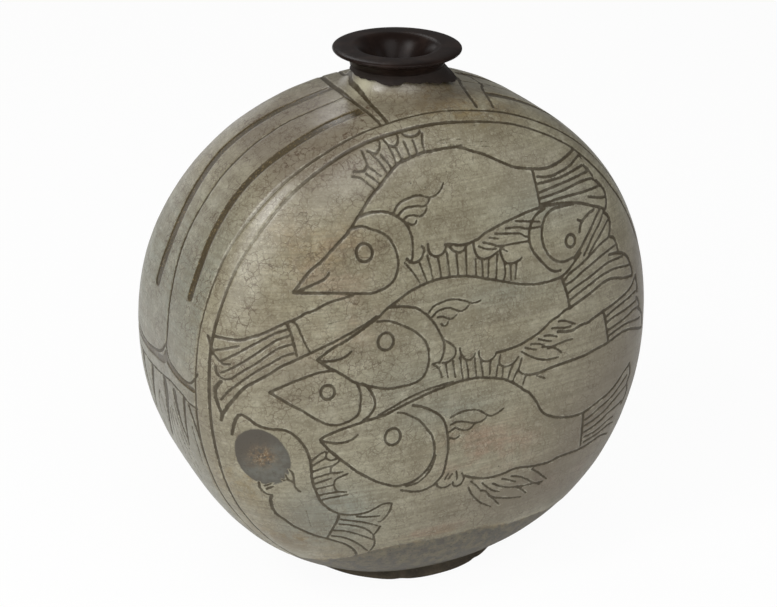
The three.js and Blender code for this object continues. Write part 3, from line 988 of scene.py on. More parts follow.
class GlazedSkin(Finish):
    """The body's finish, laid on in the order of the work, from the slip to the ground scar."""

    def __init__(self, tones: Glaze) -> None:
        """Starts the material, with the clouds that its layers share.

        Args:
            tones: Its colours.
        """
        super().__init__(Slot.STONEWARE.value)
        self.tones = tones
        self.fine = self.noise(3.6, 5, 0.65, 3)
        self.grain = self.noise(0.9, 3, 0.65, 5)
        self.mottle = self.noise(9, 4, 0.65, 11)
        self.brush = self.noise((24, 24, 0.9), 3, 0.6, 7)
        self.wide_brush = self.noise((60, 60, 4.0), 2, 0.5, 9)
        self.waver = self.sum("MULTIPLY_ADD", self.noise(1.3, 4, 0.75, 29), 0.8, -0.4)
        self.skin: Value | tuple = colour(tones.buff)

    def lay(self, amount: Value, tone: Value | str) -> None:
        """Lays a colour over the skin as it is so far."""
        self.skin = self.blend(amount, self.skin, colour(tone) if isinstance(tone, str) else tone)

    def slipped(self) -> None:
        """Lays the slip, with its stains, its brush marks, its grain and a painted shade."""
        tones = self.tones
        self.lay(self.spread(self.noise(34, 4, 0.6), 0.32, 0.68), tones.pale)
        self.lay(self.spread(self.noise(52, 3, 0.6, 13), 0.5, 0.75, 0, 0.7), tones.shade)
        self.lay(self.spread(self.field("green"), 0, 1, 0, 0.75), tones.green)
        ochre = self.scaled(self.field("ochre"), self.spread(self.noise(16, 4, 0.65, 17), 0.35, 0.7))
        self.lay(self.spread(ochre, 0, 1, 0, 0.8), tones.ochre)
        pink = self.scaled(self.field("pink"), self.spread(self.noise(11, 3, 0.6, 19), 0.3, 0.7))
        self.lay(self.spread(pink, 0, 1, 0, 0.6), tones.pink)
        amber = self.scaled(self.field("amber"), self.spread(self.noise(5, 5, 0.7, 21), 0.38, 0.6))
        self.lay(amber, tones.amber)
        for cloud, low, high, most, tone in (
            (self.brush, 0.4, 0.62, 0.42, tones.shade),
            (self.wide_brush, 0.45, 0.7, 0.36, tones.shade),
            (self.mottle, 0.48, 0.72, 0.3, tones.shade),
            (self.mottle, 0.5, 0.3, 0.3, tones.light),
            (self.fine, 0.48, 0.7, 0.4, tones.shade),
            (self.fine, 0.46, 0.28, 0.35, tones.light),
            (self.grain, 0.52, 0.72, 0.5, tones.shade),
            (self.grain, 0.44, 0.3, 0.4, tones.light),
        ):
            self.lay(self.spread(cloud, low, high, 0, most), tone)
        # Painted shade, with some of the glaze's own darker tone, laid over the slip.
        self.lay(self.scaled(self.field("dark_tone_and_shade"), 0.75), tones.dark_tone_and_shade)

    def crackled(self) -> bpy.types.NodeSocket:
        """Lays the crackle and the specks of the glaze.

        Returns:
            How strong the crackle is.
        """
        wide = self.cells(3.4, "DISTANCE_TO_EDGE", 1.1).outputs["Distance"]
        small = self.cells(1.7, "DISTANCE_TO_EDGE", 0.6, 4).outputs["Distance"]
        crazed = self.spread(self.noise(10, 3, 0.6, 23), 0.35, 0.65, 0.25, 1)
        crazed = self.scaled(crazed, self.field("crazing"))
        halting = self.spread(self.noise(4, 3, 0.6, 25), 0.4, 0.55, 0.15, 1)
        wide = self.scaled(self.spread(wide, 0.012, 0.06, 1, 0), crazed)
        small = self.scaled(self.scaled(self.spread(small, 0.02, 0.1, 1, 0), halting), crazed)
        cracks = self.sum("MAXIMUM", self.scaled(wide, 0.7), self.scaled(small, 0.42))
        self.lay(cracks, self.tones.crack)
        dots = self.spread(self.cells(3.4, "F1", 0.0, 6).outputs["Distance"], 0.05, 0.13, 1, 0)
        self.lay(self.scaled(dots, self.field("speckle")), self.tones.speck)
        return cracks

    def lined(self) -> bpy.types.NodeSocket:
        """Lays the incised lines and the scraped strokes, with a pale patch beside the neck and a painted
        highlight that pales the lines on the upper left.

        Returns:
            Where the incised lines are.
        """
        tones = self.tones
        edge = self.sum("ADD", self.field("cut"), self.waver)
        line = self.spread(edge, -0.2, 0.12, 1, 0)
        worn = self.spread(self.noise(5, 4, 0.7, 31), 0.32, 0.6, 0.8, 1)
        # A painted highlight pales the lines on the upper left of the face, on top of their wear.
        worn = self.scaled(worn, self.spread(self.field("painted_line_highlight"), 0, 1, 1, 0.45))
        # A paler slip patch beside the neck, with a painted highlight on it.
        self.lay(self.field("pale_slip_and_highlight"), tones.pale_slip_and_highlight)
        rubbed = self.spread(self.fine, 0.5, 0.35, 0, 0.5)
        self.lay(self.scaled(self.spread(edge, 0.1, 0.5, 1, 0), rubbed), tones.light)
        self.lay(self.scaled(line, worn), tones.cut_line)
        scraped = self.spread(self.sum("ADD", self.field("heavy"), self.waver), -0.2, 0.12, 1, 0)
        mixed = self.spread(self.mottle, 0.38, 0.62)
        tone = self.blend(mixed, colour(tones.heavy_line), colour(tones.cut_line))
        tone = self.blend(self.spread(self.grain, 0.56, 0.66, 0, 0.5), tone, colour(tones.ochre))
        self.lay(scraped, tone)
        return line

    def bared(self) -> bpy.types.NodeSocket:
        """Lays the bare clay below the slip, with a burnt brim between the two.

        Returns:
            Where the clay is bare.
        """
        tones = self.tones
        ragged = self.sum("MULTIPLY_ADD", self.noise(3.5, 5, 0.75, 37), 4.0, -2.0)
        slip = self.sum("ADD", self.field("slip"), ragged)
        bare = self.spread(slip, -0.7, 0.6, 1, 0)
        clay = self.blend(self.spread(self.fine, 0.35, 0.7), colour(tones.clay), colour(tones.shade))
        clay = self.blend(self.spread(self.grain, 0.58, 0.66, 0, 0.75), clay, colour(tones.speck))
        self.lay(bare, clay)
        brim = self.scaled(self.spread(slip, -2.6, 0, 0, 1), self.spread(slip, 0, 1.6, 1, 0))
        broken = self.spread(self.noise(5, 4, 0.65, 43), 0.4, 0.7, 0, 0.5)
        self.lay(self.scaled(brim, broken), tones.ochre)
        return bare

    def scarred(self) -> tuple[bpy.types.NodeSocket, bpy.types.NodeSocket]:
        """Lays the ground scar.

        Returns:
            Where the scar is, and where its gritty middle is.
        """
        tones = self.tones
        scar = self.spread(self.sum("ADD", self.field("scar"), self.waver), -0.3, 0.4, 1, 0)
        grit = self.scaled(self.field("grit"), self.spread(self.noise(1.7, 4, 0.7, 41), 0.36, 0.6))
        tone = colour(tones.scar_grey)
        for amount, over in (
            # Painted shade on the upper left of the scar's dished hollow.
            (self.field("dark_clay_and_shade"), tones.scar_brown),
            (self.spread(self.fine, 0.4, 0.65, 0, 0.7), tones.scar_brown),
            (self.spread(self.brush, 0.5, 0.7, 0, 0.5), tones.scar_brown),
            (self.spread(self.field("grit"), 0.15, 0.6, 0, 0.75), tones.scar_brown),
            (grit, tones.rust),
            (self.scaled(grit, self.spread(self.grain, 0.52, 0.6)), tones.grain_pale),
            (self.spread(self.grain, 0.56, 0.68, 0, 0.6), tones.speck),
            # Painted shade: a darker brown band just inside the scar's rim.
            (self.spread(self.field("scar"), -2.6, -0.2, 0, 0.55), tones.scar_brown),
        ):
            tone = self.blend(amount, tone, colour(over))
        self.lay(scar, tone)
        return scar, grit

    def make(self) -> bpy.types.Material:
        """Lays every layer on, and joins them to the shader.

        Returns:
            The material of the flask's body.
        """
        self.slipped()
        cracks = self.crackled()
        line = self.lined()
        bare = self.bared()
        scar, grit = self.scarred()
        dull = self.sum("MAXIMUM", self.sum("MAXIMUM", bare, scar), line)
        satin = self.sum("MULTIPLY_ADD", self.fine, 0.22, 0.27)
        roughness = self.sum("MULTIPLY_ADD", dull, 0.28, satin)
        rubble = self.scaled(self.sum("MAXIMUM", grit, self.scaled(bare, 0.3)), self.grain)
        sound = self.sum("SUBTRACT", 1.0, cracks)
        bump = None
        layers = ((self.brush, 0.035), (self.fine, 0.12), (self.grain, 0.04), (sound, 0.05), (rubble, 0.5))
        for height, depth in layers:
            bump = self.relief(height, depth, bump)
        shine = {"Specular_IOR_Level": 0.4, "Coat_Weight": 0.36, "Coat_Roughness": 0.22}
        return self.done(self.skin, roughness, bump, **shine)


@dataclass(frozen=True)
class BareClay:
    """Unglazed grey-brown clay, of the old neck or of the burnt foot."""

    slot: Slot
    body: str
    # The darker clay that the clouds bring out.
    dark_clay_and_shade: str
    ash: str

    def make(self) -> bpy.types.Material:
        """Makes the material.

        Returns:
            The material, named for its slot.
        """
        paint = Finish(self.slot.value)
        cloud = paint.noise(14, 4, 0.6, 2)
        grain = paint.noise(1.1, 4, 0.65, 4)
        skin = paint.blend(paint.spread(cloud, 0.35, 0.65), colour(self.body), colour(self.dark_clay_and_shade))
        skin = paint.blend(paint.spread(grain, 0.58, 0.72, 0, 0.5), skin, colour(self.ash))
        bump = paint.relief(grain, 0.25)
        bump = paint.relief(cloud, 0.3, bump)
        return paint.done(skin, paint.sum("MULTIPLY_ADD", grain, 0.3, 0.6), bump)


@dataclass(frozen=True)
class Lacquer:
    """Black-brown lacquer, glossy on the turned mouth and dull on the putty."""

    slot: Slot
    body: str
    worn: str
    dull: float
    lumps: float
    gloss: float

    def make(self) -> bpy.types.Material:
        """Makes the material.

        Returns:
            The material, named for its slot.
        """
        paint = Finish(self.slot.value)
        cloud = paint.noise(9, 4, 0.6, 2)
        dust = paint.noise(0.9, 3, 0.6, 4)
        skin = paint.blend(paint.spread(cloud, 0.42, 0.72, 0, 0.8), colour(self.body), colour(self.worn))
        skin = paint.blend(paint.spread(dust, 0.66, 0.8, 0, 0.35), skin, colour(self.worn))
        bump = paint.relief(cloud, self.lumps)
        bump = paint.relief(dust, self.lumps * 0.3, bump)
        roughness = paint.sum("MULTIPLY_ADD", cloud, 0.2, self.dull)
        return paint.done(skin, roughness, bump, Specular_IOR_Level=self.gloss)


# Pieces


def settle(piece: bpy.types.Object, node: str, finish: bpy.types.Material) -> bpy.types.Object:
    """Puts a piece in the place of its CAD node.

    Args:
        piece: The piece.
        node: The CAD node that it stands for.
        finish: Its material.

    Returns:
        The piece.
    """
    piece.data.materials.append(finish)
    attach(piece, WHOLE_BODY)
    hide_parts(node)
    return piece


@dataclass(frozen=True)
class Blot:
    """A soft patch on the front face, of a stain, of painted shade or of a painted highlight: its place
    across and up, its two sizes and its strength.
    """

    across: float
    up: float
    wide: float
    tall: float
    strength: float = 1.0

    def laid(self, x: np.ndarray, z: np.ndarray) -> np.ndarray:
        """How strong the patch is at some places."""
        far = ((x - self.across) / self.wide) ** 2 + ((z - self.up) / self.tall) ** 2
        return self.strength * np.exp(-far)


@dataclass
class FlaskBody:
    """The hollow globe with its incised faces and walls."""

    globe: Globe
    face_steps: int = 320
    wall_steps: int = 168
    face_share: float = 0.9
    face_end: float = 0.95
    wall_start: float = 0.955
    wall_edge: Place = (0.962, 0.972)
    outer_ring: float = 0.964
    inner_ring: float = 0.935
    bore: float = 15.0
    wall: float = 6.0
    cut_depth: float = 0.28
    heavy_depth: float = 0.34
    slip_depth: float = 0.15
    slip_sway: float = 0.6
    slip_edge: str = "-60,22 -45,27 -35,31.5 -26,32 4,31.8 13,30.5 25,28 36,27 60,24"
    stroke_top: float = 22.6
    far_stroke_top: float = 28.6
    right_widening: float = 0.08
    scar_across: float = -76.0
    scar_below: float = 18.0
    scar_depth: float = 1.5
    scar_shift: float = 2.7
    scar_stretch: float = 1.4
    grinder: float = 75.0
    cavity_steps: int = 36
    sheet: float = 384.0
    ochre: tuple[Blot, ...] = (
        Blot(-50, 153, 17, 14, 0.8),
        Blot(-62, 138, 14, 12, 0.4),
        Blot(-12, 35, 16, 2.2, 1.0),
        Blot(-48, 27, 12, 2.5, 0.8),
        Blot(20, 118, 30, 14, 0.45),
        Blot(-76, 50, 10, 9, 0.8),
        Blot(-56, 30, 16, 6, 0.9),
        Blot(60, 62, 22, 16, 0.5),
    )
    amber: tuple[Blot, ...] = (
        Blot(7, 188, 11, 3.5, 1.3),
        Blot(24, 183, 18, 4, 0.7),
        Blot(-82, 64, 7, 9, 0.9),
        Blot(-66, 37, 14, 6, 1.2),
        Blot(-44, 26, 12, 3, 0.9),
        Blot(-54, 150, 16, 12, 0.1),
        Blot(-60, 130, 14, 14, 0.1),
        Blot(-38, 186, 12, 4, 0.35),
    )
    pink: tuple[Blot, ...] = (
        Blot(8, 66, 22, 11, 1.2),
        Blot(-14, 36, 18, 2.2, 1.2),
        Blot(-48, 146, 18, 16, 0.6),
        Blot(-50, 120, 24, 14, 0.5),
        Blot(45, 45, 30, 10, 0.8),
        Blot(30, 100, 24, 6, 0.3),
    )
    green: tuple[Blot, ...] = (
        Blot(-54, 50, 18, 15, 1.2),
        Blot(45, 120, 26, 20, 0.25),
        Blot(36, 152, 26, 10, 0.55),
        Blot(-22, 98, 24, 12, 0.4),
        Blot(12, 124, 22, 7, 0.45),
        Blot(-6, 84, 26, 6, 0.5),
    )
    # Painted shade, with some of the glaze's own darker tone: most towards the right and lower edges and
    # round the neck.
    dark_tone_and_shade: tuple[Blot, ...] = (
        Blot(62, 62, 26, 34, 1.1),
        Blot(84, 100, 20, 40, 0.5),
        Blot(10, 45, 50, 14, 0.35),
        Blot(-72, 118, 16, 18, 0.25),
        Blot(-62, 52, 14, 12, 0.5),
        Blot(-40, 185, 30, 12, 0.5),
        Blot(2, 188, 18, 2.5, 0.75),
        Blot(-62, 34, 16, 6, 0.45),
        Blot(94, 92, 15, 56, 1.3),
        Blot(70, 48, 20, 22, 0.9),
        Blot(30, 42, 34, 12, 0.6),
        Blot(-50, 178, 22, 12, 1.1),
        Blot(-98, 88, 12, 40, 0.45),
        Blot(-66, 106, 12, 12, 0.3),
    )
    # Where a painted highlight pales the lines, on the upper left of the face.
    painted_line_highlight: tuple[Blot, ...] = (Blot(-72, 152, 13, 20, 1.0), Blot(-58, 168, 12, 8, 0.6))
    # A paler slip beside the neck, with a painted highlight on it.
    pale_slip_and_highlight: tuple[Blot, ...] = (Blot(-15.5, 188, 4.5, 3, 0.95),)

    def drawing(self, layings: tuple[Laying, ...]) -> Chart:
        """The chart of one face, with its fish drawn on it.

        Args:
            layings: The sketches, as they are laid on it.

        Returns:
            The chart.
        """
        chart = Chart((-100, 100), (0, 196))
        for laying in layings:
            for weight, text in ((Weight.OUTLINE, laying.sketch.outline), (Weight.FINE, laying.sketch.fine)):
                for points in knife_lines(text):
                    line = drawn_through(self.placed(points, laying))
                    chart.draw(line, weight.value, weight.value * 0.85)
            for across, up, radius in laying.sketch.eyes:
                turn = np.linspace(0, math.tau, 25)
                ring = np.stack([across + radius * np.cos(turn), up + radius * 1.06 * np.sin(turn)], -1)
                chart.draw(self.placed(ring, laying), Weight.OUTLINE.value, Weight.OUTLINE.value)
        return chart

    def placed(self, points: np.ndarray, laying: Laying) -> np.ndarray:
        """The points of a sketch as they are laid on a face.

        Args:
            points: The points.
            laying: How the sketch is laid.

        Returns:
            The moved points.
        """
        middle = np.array([0.0, self.globe.waist])
        sign = np.array([-1.0 if laying.turned_over else 1.0, 1.0])
        return middle + (points - middle) * sign * laying.scale + np.array([laying.across, laying.up])

    def lines_on(self, wall: Wall, depth: np.ndarray, down: np.ndarray) -> tuple[np.ndarray, np.ndarray]:
        """How far places on a side wall are from its lines.

        Args:
            wall: Which wall.
            depth: How far behind the middle plane each place is.
            down: How far down from the crown each place is.

        Returns:
            How far each place is from the thin lines and from the heavy strokes.
        """
        thin = Chart((-60, 60), (0, 230))
        heavy = Chart((-60, 60), (0, 230))
        for stroke in SIDE_WALL:
            if stroke.wall in (Wall.BOTH, wall):
                chart = heavy if stroke.heavy else thin
                for points in knife_lines(stroke.points):
                    chart.draw(drawn_through(points), stroke.start, stroke.end)
        top = self.stroke_top
        if wall is Wall.RIGHT:
            depth = 1.02 * depth - 1.3 * np.sin(down / 37)
            top = self.far_stroke_top
        thick = np.maximum(heavy.sample(depth, down), 0.3 * (top - down))
        return thin.sample(depth, down), thick

    def meridian(self) -> np.ndarray:
        """Tilts from the front face's edge to the back one's, evenly far apart on the wall.

        Returns:
            The tilts.
        """
        square = self.globe.squareness
        tilt = np.linspace(0, math.pi, 4001)
        size = (np.abs(np.cos(tilt)) ** square + np.sin(tilt) ** square) ** (-1 / square)
        share, rise = np.sin(tilt) * size, -np.cos(tilt) * size
        way = np.hypot(np.diff(share) * self.globe.half_width, np.diff(rise) * self.globe.half_depth)
        gone = np.concatenate([[0], np.cumsum(way)])
        first = np.interp(self.face_share, share[: len(share) // 2], gone[: len(share) // 2])
        return np.interp(np.linspace(first, gone[-1] - first, self.wall_steps + 1), gone, tilt)

    def skin(self) -> tuple[Surface, np.ndarray, np.ndarray, np.ndarray]:
        """The outer skin, before anything is cut into it.

        Returns:
            The surface, and each point's angle, share of the outline's radius, and side.
        """
        steps = self.face_steps
        u, v = np.meshgrid(np.linspace(-1, 1, steps + 1), np.linspace(-1, 1, steps + 1), indexing="ij")
        a, b = u * np.sqrt(1 - v * v / 2), v * np.sqrt(1 - u * u / 2)
        face_angle = np.arctan2(b, a)
        face_out = np.hypot(a, b) * self.face_share
        count = (steps + 1) ** 2
        front = np.arange(count).reshape(steps + 1, steps + 1)
        back = front + count
        loop = np.concatenate([front[-1, :-1], front[::-1, -1][:-1], front[0, ::-1][:-1], front[:-1, 0]])
        loop = np.roll(loop, -int(steps / 2))
        columns = len(loop)
        ring_angle = np.unwrap(face_angle.ravel()[loop])

        tilt = self.meridian()[1:-1]
        square = self.globe.squareness
        size = (np.abs(np.cos(tilt)) ** square + np.sin(tilt) ** square) ** (-1 / square)
        wall_share = np.minimum(1, np.sin(tilt) * size)
        wall_side = np.where(np.cos(tilt) > 0, -1.0, 1.0)
        inner = 2 * count + np.arange(len(tilt) * columns).reshape(len(tilt), columns)
        rows = np.vstack([loop[None], inner, (loop + count)[None]])
        rows = np.hstack([rows, rows[:, :1]])

        angle = np.concatenate([face_angle.ravel(), face_angle.ravel(), np.tile(ring_angle, len(tilt))])
        share = np.concatenate([face_out.ravel(), face_out.ravel(), np.repeat(wall_share, columns)])
        side = np.concatenate([np.full(count, -1.0), np.full(count, 1.0), np.repeat(wall_side, columns)])
        points = self.globe.points(angle, share, side)

        half = columns // 2
        plane = points[:count].reshape(steps + 1, steps + 1, 3)
        disc_x, disc_z = plane[..., 0] + 96, plane[..., 2] - self.globe.waist + 96
        long = np.linspace(0, math.pi * self.globe.half_width, half + 1)
        deep = np.linspace(0, 92, len(rows))
        strip_x, strip_y = np.meshgrid(long, deep)
        parts = [
            (grid_faces(front), grid_flat(disc_x, disc_z)),
            (grid_faces(back)[:, ::-1], grid_flat(disc_x + 192, disc_z)[:, ::-1]),
            (grid_faces(rows[:, : half + 1]), grid_flat(strip_x, strip_y + 194)),
            (grid_faces(rows[:, half:]), grid_flat(strip_x, strip_y + 289)),
        ]
        faces = np.concatenate([part[0] for part in parts])
        flat = np.concatenate([part[1] for part in parts]) / self.sheet
        return Surface(points, faces, flat), angle, share, side

    def opened(self, skin: Surface) -> np.ndarray:
        """Opens the crown for the neck.

        Args:
            skin: The outer skin, which loses the faces over the bore.

        Returns:
            The point numbers of the hole's edge, in order round it.
        """
        x, y, z = skin.points.T
        over = (np.hypot(x, y) < self.bore - 0.2) & (z > self.globe.waist)
        kept = ~over[skin.faces].any(1)
        skin.faces, skin.flat = skin.faces[kept], skin.flat[kept]
        close = (np.hypot(x, y) < self.bore + 4)[skin.faces].any(1)
        near = skin.faces[close & (z > self.globe.waist)[skin.faces].all(1)]
        edges = np.concatenate([near[:, [i, (i + 1) % 4]] for i in range(4)])
        keys, counts = np.unique(np.sort(edges, 1), axis=0, return_counts=True)
        edge = np.unique(keys[counts == 1])
        edge = edge[np.hypot(x[edge], y[edge]) < self.bore + 1.2]
        edge = edge[np.argsort(np.arctan2(y[edge], x[edge]))]
        scale = self.bore / np.hypot(x[edge], y[edge])
        skin.points[edge, 0] *= scale
        skin.points[edge, 1] *= scale
        return edge

    def hollowed(self, skin: Surface, edge: np.ndarray) -> None:
        """Adds the bore and the inner wall, down to the floor of the flask.

        Args:
            skin: The outer skin, which is closed by them.
            edge: The point numbers of the hole's edge.
        """
        turn = np.arctan2(skin.points[edge, 1], skin.points[edge, 0])
        middle = np.array([0, 0, self.globe.waist])
        start = math.atan2(self.bore + 0.2, self.globe.crown_rise - self.wall)
        tilt = np.linspace(start, math.pi - 0.02, self.cavity_steps)[:, None]
        down = np.broadcast_to(np.cos(tilt), (len(tilt), len(turn)))
        way = np.stack([np.sin(tilt) * np.cos(turn), np.sin(tilt) * np.sin(turn), down], -1)
        near, far = np.zeros(way.shape[:2]), np.full(way.shape[:2], 110.0)
        for _ in range(30):
            half = (near + far) / 2
            inside = self.globe.shell_value(middle + way * half[..., None], -self.wall) < 0
            near, far = np.where(inside, half, near), np.where(inside, far, half)
        floor = self.globe.foot_height + self.wall
        reach = np.where(down < 0, (floor - self.globe.waist) / np.minimum(down, -1e-6), 200)
        ring_points = middle + way * np.minimum(near, reach)[..., None]
        first = len(skin.points)
        index = first + np.arange(ring_points.shape[0] * len(turn)).reshape(-1, len(turn))
        index = np.vstack([edge[None], index, np.full((1, len(turn)), first + ring_points[..., 0].size)])
        index = np.hstack([index, index[:, :1]])
        across, up = np.meshgrid(np.linspace(0, 74, index.shape[1]), np.linspace(0, 90, len(index)))
        new_flat = grid_flat(across + 305, up + 194) / self.sheet
        foot = np.array([[0, 0, floor]])
        skin.points = np.vstack([skin.points, ring_points.reshape(-1, 3), foot])
        skin.faces = np.vstack([skin.faces, grid_faces(index)])
        skin.flat = np.vstack([skin.flat, new_flat])

    def scar_centre(self) -> tuple[np.ndarray, np.ndarray]:
        """The middle of the ground scar on the front face, and the way outwards there.

        Returns:
            The middle, and a way of length 1.
        """

        def place(across: float, height: float) -> np.ndarray:
            """A point of the front face.

            Args:
                across: How far across it is.
                height: How high it is.

            Returns:
                The point.
            """
            angle = np.arctan2(height - self.globe.waist, across)
            share = np.hypot(across, height - self.globe.waist) / self.globe.outline(angle)
            return self.globe.points(angle, share, -1.0)

        height = self.globe.waist - self.scar_below
        centre = place(self.scar_across, height)
        sideways = place(self.scar_across + 1, height) - centre
        upwards = place(self.scar_across, height + 1) - centre
        outwards = np.cross(sideways, upwards)
        return centre, outwards / np.linalg.norm(outwards)

    def ground(self, points: np.ndarray) -> tuple[np.ndarray, np.ndarray]:
        """Grinds the scar.

        Args:
            points: The points of the skin.

        Returns:
            The points with the scar in them, and how far each is outside the scar's rim.
        """
        centre, outwards = self.scar_centre()
        middle = centre + outwards * (self.grinder - self.scar_depth)
        toward = points - middle
        along = toward @ outwards
        aside = np.cross(outwards, (0, 0, 1.0))
        aside /= np.linalg.norm(aside)
        flat = toward - along[:, None] * outwards
        sideways = flat @ aside
        shifted = (sideways - self.scar_shift) / self.scar_stretch
        off = np.sqrt(np.maximum(0, (flat**2).sum(1) - sideways**2) + shifted**2)
        bottom = -np.sqrt(np.maximum(0, self.grinder**2 - off**2))
        depth = along - bottom
        inside = (off < 16) & (depth > 0)
        moved = points - np.where(inside, depth, 0)[:, None] * outwards
        rim = np.where(off < 20, -depth / self.scar_depth * 6, SCALE_END)
        return moved, np.clip(rim, -SCALE_END, SCALE_END)

    def build(self) -> bpy.types.Object:
        """Makes the body's mesh, with what its finish needs at each point.

        Returns:
            The body.
        """
        skin, angle, share, side = self.skin()
        plain = skin.points.copy()
        x, y, z = plain.T
        down = self.way_down(angle)
        thin, heavy = self.wall_lines(x, y, share, down)
        cut = np.minimum(self.face_lines(x, z, share, side), thin)
        cut = np.minimum(cut, self.ring_lines(angle, share))
        edge_across, edge_up = knife_lines(self.slip_edge)[0].T
        slip = z - np.interp(x, edge_across, edge_up) - self.slip_sway * swell(plain, 22, 8)
        slip = np.clip(slip, -SCALE_END, SCALE_END)
        cut = np.where(slip < -1, LINE_REACH, cut)

        self.globe.rooted(skin.points)
        normals = self.normals(skin)
        sunk = 0.22 * (1 + swell(plain, 46, 4)) / 2 + 0.05 * (1 + swell(plain, 9, 6))
        sunk = np.maximum(sunk, 0)
        sunk += self.cut_depth * eased(-cut, -0.1, 0.32) + self.heavy_depth * eased(-heavy, -0.15, 0.5)
        sunk += self.slip_depth * eased(-slip, 0, 0.6)
        skin.points -= normals * sunk[:, None]
        skin.points, scar = self.ground(skin.points)
        skin.points[:, 2] = np.maximum(skin.points[:, 2], self.globe.foot_height)
        edge = self.opened(skin)
        self.hollowed(skin, edge)

        fields = {
            "cut": np.where(scar < 0, LINE_REACH, cut),
            "heavy": heavy,
            "slip": slip,
            "scar": np.where(side < 0, scar, SCALE_END),
            "green": self.greened(x, z, share, down, side),
            **self.stains(plain, share),
            **self.scar_stains(x, z, side),
        }
        inner = len(skin.points) - len(plain)
        body = skin.mesh("flask_skin")
        for name, values in fields.items():
            layer = body.data.attributes.new(name, "FLOAT", "POINT")
            values = np.concatenate([values, np.full(inner, values[-1])])
            layer.data.foreach_set("value", values.astype(np.float32))
        return settle(body, "flask_body", GlazedSkin(Glaze()).make())

    def face_lines(self, x: np.ndarray, z: np.ndarray, share: np.ndarray, side: np.ndarray) -> np.ndarray:
        """How far places are from the lines drawn on the two faces.

        Args:
            x: How far across each place is.
            z: How high it is.
            share: How far out it is, as a share of the outline's radius.
            side: -1 at the front, 1 at the back.

        Returns:
            One distance a place, below 0 inside a line.
        """
        front, back = self.drawing(FRONT_FACE), self.drawing(BACK_FACE)
        for points in knife_lines(SCRATCHES):
            front.draw(drawn_through(points), Weight.SCRATCH.value, Weight.SCRATCH.value)
        gap = np.where(side < 0, front.sample(x, z), back.sample(-x, z))
        gap -= self.right_widening * eased(x * -side, 10, 60)
        return np.where(share < self.face_end, gap, LINE_REACH)

    def way_down(self, angle: np.ndarray) -> np.ndarray:
        """How far down from the crown an angle is, along the outline.

        Args:
            angle: The angle round the outline, from the right.

        Returns:
            One length an angle.
        """
        turn = np.linspace(math.pi / 2, 1.5 * math.pi, 2001)
        rim = self.globe.outline(turn)
        way = np.hypot(np.diff(rim * np.cos(turn)), np.diff(rim * np.sin(turn)))
        gone = np.concatenate([[0], np.cumsum(way)])
        folded = np.abs((angle - math.pi / 2 + math.pi) % math.tau - math.pi) + math.pi / 2
        return np.interp(folded, turn, gone)

    def wall_lines(
        self, x: np.ndarray, y: np.ndarray, share: np.ndarray, down: np.ndarray
    ) -> tuple[np.ndarray, np.ndarray]:
        """How far places are from the thin lines and from the scraped strokes of the two walls.

        Args:
            x: How far across each place is.
            y: How far behind the middle plane it is.
            share: How far out it is, as a share of the outline's radius.
            down: How far down from the crown it is.

        Returns:
            The distances from the thin lines, and those from the strokes.
        """
        thin, heavy = np.full(len(x), LINE_REACH), np.full(len(x), LINE_REACH)
        for wall, there in ((Wall.LEFT, x < 0), (Wall.RIGHT, x >= 0)):
            there &= share > self.wall_start
            thin[there], heavy[there] = self.lines_on(wall, y[there], down[there])
        return thin, heavy

    def ring_lines(self, angle: np.ndarray, share: np.ndarray) -> np.ndarray:
        """How far places are from the two lines that run round each face.

        Args:
            angle: The angle of each place round the outline.
            share: How far out it is, as a share of the outline's radius.

        Returns:
            One distance a place, below 0 inside a line.
        """
        nearest = np.full(len(angle), np.inf)
        for ring, width, seed in ((self.outer_ring, 1.05, 3), (self.inner_ring, 1.35, 5)):
            height = self.globe.waist + ring * self.globe.outline(angle) * np.sin(angle)
            depth, square = self.globe.lean(height)
            slope = depth * ring ** (square - 1) / (1 - ring**square) ** (1 - 1 / square)
            pace = np.hypot(self.globe.outline(angle), slope)
            sway = swayed(angle, ((0.35, 3, seed), (0.25, 7, 2 * seed), (0.12, 19, 0)))
            thick = width / 2 * (1 + 0.2 * np.sin(5 * angle + seed))
            nearest = np.minimum(nearest, np.abs((share - ring) * pace + sway) - thick)
        return nearest

    def stains(self, plain: np.ndarray, share: np.ndarray) -> dict[str, np.ndarray]:
        """How strong each stain of the glaze is, and the painted shade and painted highlights laid in the
        same way.

        Args:
            plain: The points of the skin before anything is cut into it.
            share: How far out each point is, as a share of the outline's radius.

        Returns:
            The stains and the painted light, each under the name that the finish reads.
        """
        x, y, z = plain.T
        front, walls = eased(-y, -8, 20), eased(share, *self.wall_edge)
        ochre, pink, amber, painted_line_highlight, dark_tone_and_shade, pale_slip_and_highlight = (
            sum(blot.laid(x, z) for blot in blots)
            for blots in (self.ochre, self.pink, self.amber, self.painted_line_highlight, self.dark_tone_and_shade, self.pale_slip_and_highlight)
        )
        return {
            "ochre": front * ochre + (1 - front) * 0.2 * (1 + swell(plain, 50, 12)),
            "pink": front * pink,
            # Painted shade, with some of the glaze's own darker tone: a little on the walls, and the blots on
            # the front face.
            "dark_tone_and_shade": np.clip(0.1 * walls + eased(-y, -30, 0) * dark_tone_and_shade, 0, 1),
            "crazing": 0.65 + 0.4 * eased(-x, -20, 50) * eased(z, 60, 110) + 0.3 * eased(z, 165, 180),
            "amber": np.clip(front * amber, 0, 1),
            # A painted highlight that pales the lines, on the front face only.
            "painted_line_highlight": np.clip(front * painted_line_highlight, 0, 1),
            # The paler slip and painted highlight beside the neck, on the front of the root.
            "pale_slip_and_highlight": pale_slip_and_highlight * np.exp(-(((y + 6) / 4.5) ** 2)),
            "speckle": np.where(swell(plain, 3.1, 14) > 0.72, 0.8, 0.0),
        }

